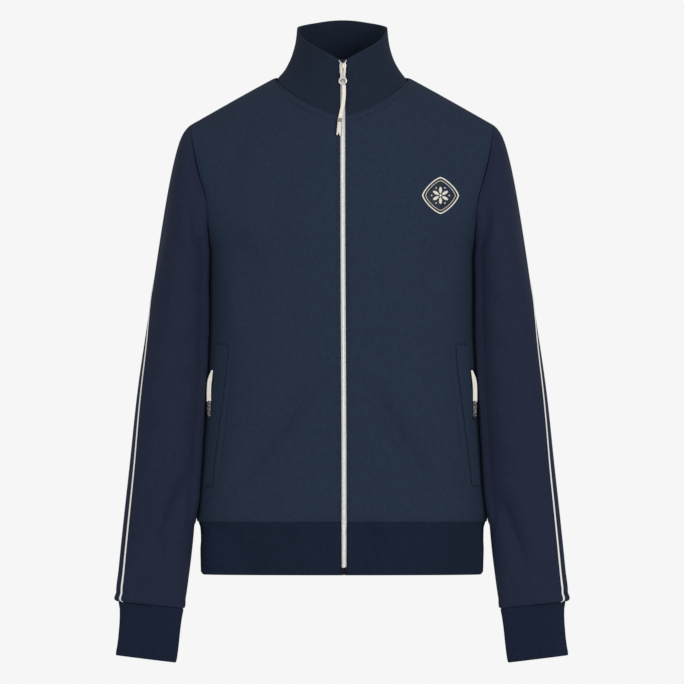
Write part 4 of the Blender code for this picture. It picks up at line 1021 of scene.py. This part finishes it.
def plate(name, outline, thickness):
    """A flat blank of a given outline, raised to a thickness, in its own flat frame."""
    bpy.ops.object.select_all(action="DESELECT")
    bpy.ops.mesh.primitive_circle_add(vertices=len(outline), radius=MM, fill_type="NGON")
    blank = bpy.context.object
    blank.name = name
    blank.data.name = name
    for vertex, (x, y) in zip(blank.data.vertices, outline):
        vertex.co = (x * MM, y * MM, -thickness / 2 * MM)
    bpy.ops.object.mode_set(mode="EDIT")
    bpy.ops.mesh.select_all(action="SELECT")
    bpy.ops.mesh.extrude_region_move(TRANSFORM_OT_translate={"value": (0, 0, thickness * MM)})
    bpy.ops.mesh.select_all(action="SELECT")
    bpy.ops.mesh.normals_make_consistent(inside=False)
    bpy.ops.object.mode_set(mode="OBJECT")
    return blank


def cut_out(piece, cutter):
    finish_with(piece, "BOOLEAN", object=cutter, operation="DIFFERENCE", solver="EXACT")
    bpy.data.objects.remove(cutter)


def soften(piece, width, segments=3, angle=35):
    finish_with(piece, "BEVEL", width=width * MM, segments=segments,
                angle_limit=math.radians(angle), harden_normals=False)
    piece.data.shade_smooth()
    bpy.context.view_layer.objects.active = piece
    piece.select_set(True)
    bpy.ops.object.shade_smooth_by_angle(angle=math.radians(45))
    piece.select_set(False)


def stand(piece, origin, across, up):
    """Carries a piece from its own flat frame to its place: x goes across, y goes up."""
    out = across.cross(up)
    piece.data.transform(Matrix.Translation(origin)
                         @ Matrix((across, up, out)).transposed().to_4x4())
    piece.data.update()


slider_low, slider_high = edge_frame(4.0 * MM), edge_frame(19.0 * MM)
slider_up = (slider_high[0] - slider_low[0]).normalized()
slider_out = Vector((1, 0, 0)).cross(slider_up)
SLIDER_OUTLINE = ((-2.2, 7.4), (-3.4, 6.9), (-4.3, 5.2), (-4.4, 3.2), (-4.1, 0.5), (-3.6, -3.0),
                  (-3.4, -6.0), (-2.9, -7.3), (2.9, -7.3), (3.4, -6.0), (3.6, -3.0), (4.1, 0.5),
                  (4.4, 3.2), (4.3, 5.2), (3.4, 6.9), (2.2, 7.4), (0.0, 6.6))
slider = plate("slider_plate", SLIDER_OUTLINE, 1.6)
soften(slider, 0.45)
middle = (slider_low[0] + slider_high[0]) / 2
stand(slider, middle + slider_out * (2.9 + 0.8) * MM, Vector((1, 0, 0)), slider_up)
# The flanges under the plate close round the coil.
flanges = []
for side in (-1, 1):
    flange = plate("slider_flange", ((-0.5, 6.0), (-0.5, -6.6), (0.5, -6.6), (0.5, 6.0)), 2.2)
    soften(flange, 0.3, 2)
    stand(flange, middle + slider_out * 1.7 * MM + Vector((side * 3.55 * MM, 0, 0)),
          Vector((1, 0, 0)), slider_up)
    flanges.append(flange)

# The bridge: a strap that rises from the plate and arches over the pull's crossbar.
BRIDGE_LINE = [(6.1, -0.9), (6.0, 0.3), (5.3, 1.55), (3.9, 2.15), (2.1, 2.25), (0.4, 2.1),
               (-1.0, 1.6),
               (-1.9, 0.5), (-2.0, -0.9)]
bm = bmesh.new()
rings = []
pivot_up = (PIVOT - (middle + slider_out * (2.9 + 1.6) * MM)).dot(slider_up) / MM
for k, (up, out) in enumerate(BRIDGE_LINE):
    a, b = BRIDGE_LINE[max(k - 1, 0)], BRIDGE_LINE[min(k + 1, len(BRIDGE_LINE) - 1)]
    heading = (slider_up * (b[0] - a[0]) + slider_out * (b[1] - a[1])).normalized()
    thick = Vector((1, 0, 0)).cross(heading)
    centre = middle + slider_out * (4.5 + out) * MM + slider_up * (up - 2.05 + pivot_up) * MM
    ring = []
    for t in range(10):
        turn = 2 * math.pi * t / 10
        strap_x = 1.35 * MM * math.copysign(abs(math.cos(turn)) ** 0.6, math.cos(turn))
        strap_y = 0.5 * MM * math.copysign(abs(math.sin(turn)) ** 0.6, math.sin(turn))
        ring.append(bm.verts.new(centre + Vector((strap_x, 0, 0)) + thick * strap_y))
    rings.append(ring)
for low, high in zip(rings, rings[1:]):
    for t in range(10):
        bm.faces.new((low[t], low[(t + 1) % 10], high[(t + 1) % 10], high[t])).smooth = True
bm.faces.new(rings[0][::-1])
bm.faces.new(rings[-1])
bmesh.ops.recalc_face_normals(bm, faces=bm.faces)
bridge = mesh_piece("slider_bridge", bm)
finish_with(bridge, "SUBSURF", levels=1, render_levels=1)
for k, piece in enumerate([slider, bridge] + flanges):
    piece.data.materials.append(plated)
    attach(piece, "garment")
    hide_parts("zip_slider")

# The pull, one casting: crossbar, two arms, a waisted plate and a ring for the cord.
RING_Y = -18.6
ring_arc = []
for k in range(29):
    turn = math.radians(46.5 - (180 + 93) * k / 28)
    ring_arc.append((5.4 * math.cos(turn), RING_Y + 5.4 * math.sin(turn)))
PULL_OUTLINE = ([(3.5, 0.2), (3.4, -2.0), (3.3, -5.5), (3.2, -9.0), (3.2, -12.5), (3.35, -14.0)]
                + ring_arc
                + [(-3.35, -14.0), (-3.2, -12.5), (-3.2, -9.0), (-3.3, -5.5), (-3.4, -2.0),
                   (-3.5, 0.2),
                   (-3.1, 0.8), (3.1, 0.8)])
pull = plate("pull_tab", PULL_OUTLINE, 1.5)
cut_out(pull, plate("slot", ((-1.7, -0.8), (-1.7, -3.6), (-0.9, -4.2), (-0.75, -6.2), (0.75, -6.2),
                             (0.9, -4.2), (1.7, -3.6), (1.7, -0.8)), 4))
eye = [(3.4 * math.cos(2 * math.pi * k / 32), RING_Y + 0.1 + 2.65 * math.sin(2 * math.pi * k / 32))
       for k in range(32)]
cut_out(pull, plate("eye", eye, 4))
soften(pull, 0.35)
ring_at, ring_out = edge_frame((13.5 - 18.6) * MM)
pull_down = ring_at + ring_out * (2.6 + 0.3 + 1.6 + 0.8 + 0.35) * MM - PIVOT
pull_down.x = 0
pull_down.normalize()
stand(pull, PIVOT, Vector((1, 0, 0)), -pull_down)
pull.data.materials.append(plated)
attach(pull, "zip_pull")
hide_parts("zip_pull_tab")

box_at, box_out = edge_frame(-639.7 * MM)
box = plate("retainer_box", ((-3.7, 3.7), (-3.7, -3.7), (3.7, -3.7), (3.7, 3.7)), 3.2)
soften(box, 0.5)
stand(box, box_at + box_out * (0.6 + 1.6) * MM, Vector((1, 0, 0)), Vector((0, 0, 1)))
place_spots(box, settle_torso(spots(box)))
gunmetal = plated.copy()
gunmetal.name = "dark_plated_box"
for node in gunmetal.node_tree.nodes:
    if node.type == "MIX":
        node.inputs["A"].default_value = linear("#0C0F15")
        node.inputs["B"].default_value = linear("#1D222B")
box.data.materials.append(gunmetal)
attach(box, "garment")
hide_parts("zip_box")

# ------------------------------------------------------------------ pull cord's end
# Below the ring both strands run into a pressed steel band, and then hang as a short sealed tag
# that is split at its foot.
pressed_steel = bpy.data.materials.new("pressed_steel_band")
pressed_steel.use_nodes = True
tree = pressed_steel.node_tree
shader = tree.nodes["Principled BSDF"]
place = add(tree, "ShaderNodeTexCoord").outputs["Object"]
scuff = add(tree, "ShaderNodeTexNoise", {"Vector": place, "Scale": 900.0, "Detail": 3.0})
tone = add(tree, "ShaderNodeMix", {"Factor": scuff.outputs["Fac"], "A": linear("#6E6B66"),
                                   "B": linear("#B9B5AD")}, data_type="RGBA")
tree.links.new(tone.outputs["Result"], shader.inputs["Base Color"])
shader.inputs["Metallic"].default_value = 0.8
shader.inputs["Roughness"].default_value = 0.45

sealed_cotton = bpy.data.materials.new("sealed_cotton_tag")
sealed_cotton.use_nodes = True
tree = sealed_cotton.node_tree
shader = tree.nodes["Principled BSDF"]
place = add(tree, "ShaderNodeTexCoord").outputs["Object"]
ridges = add(tree, "ShaderNodeTexWave", {"Vector": place, "Scale": 330.0, "Distortion": 0.8},
             bands_direction="X")
tone = add(tree, "ShaderNodeMix", {"Factor": ridges.outputs["Fac"], "A": linear("#C6C0B4"),
                                   "B": linear("#EEEAE0")}, data_type="RGBA")
relief = add(tree, "ShaderNodeBump", {"Height": ridges.outputs["Fac"], "Strength": 0.4,
                                      "Distance": 0.0002})
tree.links.new(tone.outputs["Result"], shader.inputs["Base Color"])
tree.links.new(relief.outputs[0], shader.inputs["Normal"])
shader.inputs["Roughness"].default_value = 0.5

end_down = (PULL_END - PULL_CORD[-1]).normalized()
end_across = (Vector((1, 0, 0)) - end_down * end_down.x).normalized()
band = plate("pull_cord_band", ((-2.8, 0.6), (-2.8, -4.8), (2.8, -4.8), (2.8, 0.6)), 3.0)
for x in (-1.5, 0.0, 1.5):
    groove = plate("groove", ((x - 0.25, 0.2), (x - 0.25, -4.4), (x + 0.25, -4.4),
                              (x + 0.25, 0.2)), 0.8)
    groove.data.transform(Matrix.Translation((0, 0, 1.5 * MM)))
    cut_out(band, groove)
soften(band, 0.2, 2)
tag = plate("pull_cord_tag", ((-2.5, -4.2), (-2.7, -12.0), (-3.0, -20.8), (-2.8, -22.6),
                              (-1.5, -22.9),
                              (-0.6, -20.4), (0.0, -19.4), (0.5, -20.6), (1.2, -23.3), (2.5, -23.5),
                              (2.9, -22.0), (2.8, -12.0), (2.5, -4.2)), 2.4)
soften(tag, 0.4)
for piece, cloth in ((band, pressed_steel), (tag, sealed_cotton)):
    stand(piece, PULL_CORD[-1], end_across, -end_down)
    piece.data.materials.append(cloth)
    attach(piece, "zip_pull")
    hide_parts("zip_pull_end")

# ------------------------------------------------------------------ pocket welts
# Each side pocket is set under a narrow welt of the body's jersey, turned in and topstitched.
# Rows: height, front edge and back edge, mm on the wearer's left.
WELT_ROWS = ((-529.0, 168.0, 178.0), (-493.0, 164.5, 175.0), (-458.0, 160.0, 172.0),
             (-424.0, 155.5, 169.0), (-385.0, 150.5, 166.0), (-347.0, 147.0, 163.0))
welts = []
for side_name in ("left", "right"):
    welt = fine_copy("pocket_welt_" + side_name, "welt_cloth_" + side_name, 3, rim=0.35)
    torso_uv(welt)
    place_spots(welt, settle_torso(spots(welt)))
    welt.data.materials.append(body_jersey)
    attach(welt, "garment")
    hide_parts("pocket_welt_" + side_name)
    welts.append(welt)

# ------------------------------------------------------------------ pocket zips' cords
# A doubled cream tape comes out of each welt from the hidden zip's slider, and ends in a flecked
# woven tab with a dark tip.
POCKET_CORD = ((167.93, -55.75, -378.94), (170.25, -53.3, -386.92), (171.97, -51.49, -395.89),
               (172.5, -50.87, -403.88), (172.62, -50.69, -411.88), (172.53, -50.84, -419.88))
POCKET_END = (172.09, -51.49, -442.88)
flecked = bpy.data.materials.new("flecked_woven_tab")
flecked.use_nodes = True
tree = flecked.node_tree
shader = tree.nodes["Principled BSDF"]
place = add(tree, "ShaderNodeTexCoord").outputs["Object"]
flecks = add(tree, "ShaderNodeTexVoronoi", {"Vector": place, "Scale": 620.0, "Randomness": 0.9})
cut = add(tree, "ShaderNodeMapRange", {"Value": flecks.outputs["Distance"], "From Min": 0.32,
                                       "From Max": 0.5})
tone = add(tree, "ShaderNodeMix", {"Factor": cut.outputs[0], "A": linear("#A7A49E"),
                                   "B": linear("#22252C")}, data_type="RGBA")
tree.links.new(tone.outputs["Result"], shader.inputs["Base Color"])
shader.inputs["Roughness"].default_value = 0.8

dark_tip = bpy.data.materials.new("dark_moulded_tip")
dark_tip.use_nodes = True
tree = dark_tip.node_tree
shader = tree.nodes["Principled BSDF"]
place = add(tree, "ShaderNodeTexCoord").outputs["Object"]
mould = add(tree, "ShaderNodeTexNoise", {"Vector": place, "Scale": 600.0})
tone = add(tree, "ShaderNodeMix", {"Factor": mould.outputs["Fac"], "A": linear("#05070B"),
                                   "B": linear("#12151C")}, data_type="RGBA")
tree.links.new(tone.outputs["Result"], shader.inputs["Base Color"])
shader.inputs["Roughness"].default_value = 0.5

for side_name, side in (("left", 1), ("right", -1)):
    route = [Vector((x * side, y, z)) * MM for x, y, z in POCKET_CORD]
    path = smooth_path(route, 0.9 * MM)
    bm = bmesh.new()
    for sign in (-1, 1):
        strand(bm, path, sign * 1.5 * MM, 3.2 * MM, 1.9 * MM, Vector((0.9 * side, 0.43, 0)))
    bmesh.ops.recalc_face_normals(bm, faces=bm.faces)
    cord = mesh_piece("pocket_cord_tape_" + side_name, bm)
    # It comes to a point where it leaves the welt.
    where = spots(cord)
    run = np.array([(Vector(p) - path[0]).length for p in where])
    spine = np.array([path[min(len(path) - 1, int(r / (0.9 * MM) + 0.5))] for r in run])
    slim = 0.25 + 0.75 * fade(run, -0.004, 0.017)
    place_spots(cord, spine + (where - spine) * slim[:, None])
    cord.data.materials.append(tape_cotton)
    foot = Vector((POCKET_END[0] * side, POCKET_END[1], POCKET_END[2])) * MM
    down = (foot - path[-1]).normalized()
    across = (Vector((0.78 * side, 0.62, 0)) * side)
    across = (across - down * across.dot(down)).normalized()
    tab = plate("pocket_tab_" + side_name, ((-2.6, 0.6), (-2.4, -9.0), (-1.9, -19.6), (1.9, -19.6),
                                           (2.4, -9.0), (2.6, 0.6)), 2.4)
    soften(tab, 0.5)
    tip = plate("pocket_tip_" + side_name,
                ((-1.9, -19.2), (-1.9, -21.6), (-1.0, -22.9), (1.0, -22.9),
                                           (1.9, -21.6), (1.9, -19.2)), 2.7)
    soften(tip, 0.5)
    for piece, look in ((tab, flecked), (tip, dark_tip)):
        stand(piece, path[-1], across, -down)
        piece.data.materials.append(look)
        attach(piece, "garment")
        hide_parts("pocket_end_" + side_name)
    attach(cord, "garment")
    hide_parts("pocket_cord_" + side_name)

# ------------------------------------------------------------------ topstitching
# Lockstitch in dark navy core-spun thread, about 3 mm a stitch: beside the zip, round the
# collar's rim, under the neck seam and round the welts.
STITCH = 2.5 * MM
STITCH_GAP = 0.6 * MM
THREAD_RADIUS = 0.36 * MM
outer_skin = skin_of(body_panels + [collar, hem] + welts)


def front_spot(x, z, skin=outer_skin):
    """The point of the cloth seen from the front at x, z in mm, and its normal."""
    hit, normal, _, _ = skin.ray_cast(Vector((x * MM, -0.5, z * MM)), Vector((0, 1, 0)))
    if hit is None:
        return None
    return hit, normal if normal.y < 0 else -normal


def stitch_row(bm, line):
    """One row of stitches along a line of (x, z) in mm, laid on the cloth."""
    placed = []
    for (ax, az), (bx, bz) in zip(line, line[1:]):
        steps = max(1, int(math.hypot(bx - ax, bz - az) / 1.2))
        for k in range(steps):
            found = front_spot(ax + (bx - ax) * k / steps, az + (bz - az) * k / steps)
            if found:
                placed.append(found)
    run = [0.0]
    for (a, _), (b, _) in zip(placed, placed[1:]):
        run.append(run[-1] + (b - a).length)
    at = STITCH_GAP

    def along_at(want):
        k = min(len(run) - 2, max(0, int(np.searchsorted(run, want)) - 1))
        share = (want - run[k]) / max(run[k + 1] - run[k], 1e-9)
        return placed[k][0].lerp(placed[k + 1][0], share), placed[k][1]

    while at + STITCH < run[-1]:
        rings = []
        start, out = along_at(at)
        stop, _ = along_at(at + STITCH)
        ahead = (stop - start).normalized()
        across = ahead.cross(out).normalized()
        if (stop - start).length < STITCH * 1.5:
            for share, thick in ((0.0, 0.4), (0.22, 1.0), (0.78, 1.0), (1.0, 0.4)):
                middle = start.lerp(stop, share) + out * (0.1 * MM if thick == 1.0 else -0.1 * MM)
                rings.append([bm.verts.new(middle + (across * math.cos(t * 2 * math.pi / 5)
                                                     + out * math.sin(t * 2 * math.pi / 5))
                                           * THREAD_RADIUS * thick) for t in range(5)])
            for low, high in zip(rings, rings[1:]):
                for t in range(5):
                    bm.faces.new((low[t], low[(t + 1) % 5], high[(t + 1) % 5],
                                  high[t])).smooth = True
            bm.faces.new(rings[0][::-1])
            bm.faces.new(rings[-1])
        at += STITCH + STITCH_GAP


def neck_seam(below):
    """The neck seam on one front, or a line a given way below it."""
    seam = [(x, -51.0 * (1 - (x / 88.0) ** 1.3) ** (1 / 1.3)) for x in np.linspace(5, 82, 40)]
    moved = []
    for k, (x, z) in enumerate(seam):
        a, b = seam[max(k - 1, 0)], seam[min(k + 1, len(seam) - 1)]
        size = math.hypot(b[0] - a[0], b[1] - a[1])
        moved.append((x + below * (b[1] - a[1]) / size, z - below * (b[0] - a[0]) / size))
    return [spot for spot in moved if spot[0] > 9.5]


def rim_line(below):
    """A line below the collar's front rim on one side, found from the rim itself."""
    line = []
    for x in np.linspace(5, 50, 24):
        for z in np.arange(70, 0, -0.5):
            found = front_spot(x, z)
            if found and found[0].y < -0.02:
                line.append((x, z - below * 1.1))
                break
    return line


bm = bmesh.new()
for side in (-1, 1):
    for below in (1.6, 8.0):
        stitch_row(bm, [(x * side, z) for x, z in neck_seam(below)])
    stitch_row(bm, [(x * side, z) for x, z in rim_line(6.2)])
    offset = 7.6 * side
    stitch_row(bm, [((ZIP_X / MM) + offset + float(1.7 * fade(np.array(-z * MM), 0.12, 0.56)), z)
                    for z in np.linspace(12, -641, 120)])
    welt_line = [(side * (front - 1.6), z) for z, front, _ in reversed(WELT_ROWS)]
    top_back, low_back = WELT_ROWS[-1][2], WELT_ROWS[0][2]
    stitch_row(bm, [(side * top_back, -345.0), (side * 148.5, -345.0)] + welt_line[:-1]
               + [(side * 166.2, -526.0), (side * 168.5, -530.5), (side * (low_back - 1), -531.0)])
for side in (-1, 1):
    stitch_row(bm, [(side * x, 68.5 - 0.0045 * x * x) for x in np.linspace(0, 44, 20)])
bmesh.ops.recalc_face_normals(bm, faces=bm.faces)
stitches = mesh_piece("topstitching", bm)
thread = bpy.data.materials.new("dark_navy_core_spun_thread")
thread.use_nodes = True
tree = thread.node_tree
shader = tree.nodes["Principled BSDF"]
place = add(tree, "ShaderNodeTexCoord").outputs["Object"]
twist = add(tree, "ShaderNodeTexNoise", {"Vector": place, "Scale": 1200.0})
tone = add(tree, "ShaderNodeMix", {"Factor": twist.outputs["Fac"], "A": linear("#040914"),
                                   "B": linear("#0D1628")}, data_type="RGBA")
tree.links.new(tone.outputs["Result"], shader.inputs["Base Color"])
shader.inputs["Roughness"].default_value = 0.6
stitches.data.materials.append(thread)
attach(stitches, "garment")

# ------------------------------------------------------------------ chest badge
# A patch of satin stitch in cream on the wearer's left chest, about 48 mm high: a rounded
# lozenge round a flower of six petals, with a dot between each two.
BADGE_X, BADGE_Z = 127.4, -153.4


def on_chest(u, v, lift):
    hit, normal = front_spot(BADGE_X + u, BADGE_Z + v)
    return hit + normal * lift * MM


def embroider(bm, outline, lift, hole=None):
    """Raises one shape of stitches off the cloth, with a hole in it if one is given."""
    loops = [outline] + ([hole] if hole else [])
    top = [[bm.verts.new(on_chest(u, v, lift)) for u, v in loop] for loop in loops]
    foot = [[bm.verts.new(on_chest(u, v, -0.3)) for u, v in loop] for loop in loops]
    count = len(outline)
    if hole:
        for k in range(count):
            n = (k + 1) % count
            bm.faces.new((top[0][k], top[0][n], top[1][n], top[1][k])).smooth = True
            bm.faces.new((foot[0][k], foot[1][k], foot[1][n], foot[0][n]))
    else:
        middle = (sum(u for u, v in outline) / count, sum(v for u, v in outline) / count)
        crown = bm.verts.new(on_chest(*middle, lift + 0.15))
        base = bm.verts.new(on_chest(*middle, -0.3))
        for k in range(count):
            n = (k + 1) % count
            bm.faces.new((top[0][k], top[0][n], crown)).smooth = True
            bm.faces.new((foot[0][n], foot[0][k], base))
    for level, low in zip(top, foot):
        for k in range(count):
            n = (k + 1) % count
            bm.faces.new((level[k], low[k], low[n], level[n]))


def lozenge(size, count=96):
    points = []
    for k in range(count):
        turn = 2 * math.pi * k / count
        c, s = math.cos(turn), math.sin(turn)
        reach = (abs(c) ** 1.35 + abs(s) ** 1.35) ** (-1 / 1.35)
        points.append((size * reach * c, size * reach * s))
    return points


def oval(u, v, long, wide, turn, count=20):
    c, s = math.cos(turn), math.sin(turn)
    return [(u + long * math.cos(t) * c - wide * math.sin(t) * s,
             v + long * math.cos(t) * s + wide * math.sin(t) * c)
            for t in (2 * math.pi * k / count for k in range(count))]


bm = bmesh.new()
embroider(bm, lozenge(24.0), 0.55, lozenge(22.2))
embroider(bm, lozenge(19.6), 0.45, lozenge(18.9))
for k in range(6):
    turn = math.pi / 6 + k * math.pi / 3
    embroider(bm, oval(6.9 * math.cos(turn), 6.9 * math.sin(turn), 4.3, 1.9, turn), 0.5)
    turn += math.pi / 6
    embroider(bm, oval(11.4 * math.cos(turn), 11.4 * math.sin(turn), 0.9, 0.9, 0, 12), 0.45)
embroider(bm, oval(0, 0, 1.6, 1.6, 0, 16), 0.5)
bmesh.ops.recalc_face_normals(bm, faces=bm.faces)
badge = mesh_piece("chest_badge_stitches", bm)
satin = bpy.data.materials.new("cream_embroidery_thread")
satin.use_nodes = True
tree = satin.node_tree
shader = tree.nodes["Principled BSDF"]
place = add(tree, "ShaderNodeTexCoord").outputs["Object"]
lay = add(tree, "ShaderNodeMapping", {"Vector": place, "Rotation": (0, 0.8, 0)})
rows = add(tree, "ShaderNodeTexWave", {"Vector": lay.outputs[0], "Scale": 420.0, "Distortion": 0.5},
           bands_direction="X")
tone = add(tree, "ShaderNodeMix", {"Factor": rows.outputs["Fac"], "A": linear("#CFCABB"),
                                   "B": linear("#F1EEE4")}, data_type="RGBA")
relief = add(tree, "ShaderNodeBump", {"Height": rows.outputs["Fac"], "Strength": 0.4,
                                      "Distance": 0.0002})
tree.links.new(tone.outputs["Result"], shader.inputs["Base Color"])
tree.links.new(relief.outputs[0], shader.inputs["Normal"])
shader.inputs["Roughness"].default_value = 0.55
badge.data.materials.append(satin)
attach(badge, "garment")

bm = bmesh.new()
embroider(bm, lozenge(24.2), 0.25)
bmesh.ops.recalc_face_normals(bm, faces=bm.faces)
ground = mesh_piece("chest_badge_ground", bm)
twill_ground = bpy.data.materials.new("dark_navy_badge_twill")
twill_ground.use_nodes = True
tree = twill_ground.node_tree
shader = tree.nodes["Principled BSDF"]
place = add(tree, "ShaderNodeTexCoord").outputs["Object"]
lay = add(tree, "ShaderNodeMapping", {"Vector": place, "Rotation": (0, -0.8, 0)})
rows = add(tree, "ShaderNodeTexWave", {"Vector": lay.outputs[0], "Scale": 300.0, "Distortion": 0.4},
           bands_direction="X")
tone = add(tree, "ShaderNodeMix", {"Factor": rows.outputs["Fac"], "A": linear("#0F1624"),
                                   "B": linear("#1A2436")}, data_type="RGBA")
tree.links.new(tone.outputs["Result"], shader.inputs["Base Color"])
shader.inputs["Roughness"].default_value = 0.7
ground.data.materials.append(twill_ground)
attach(ground, "garment")
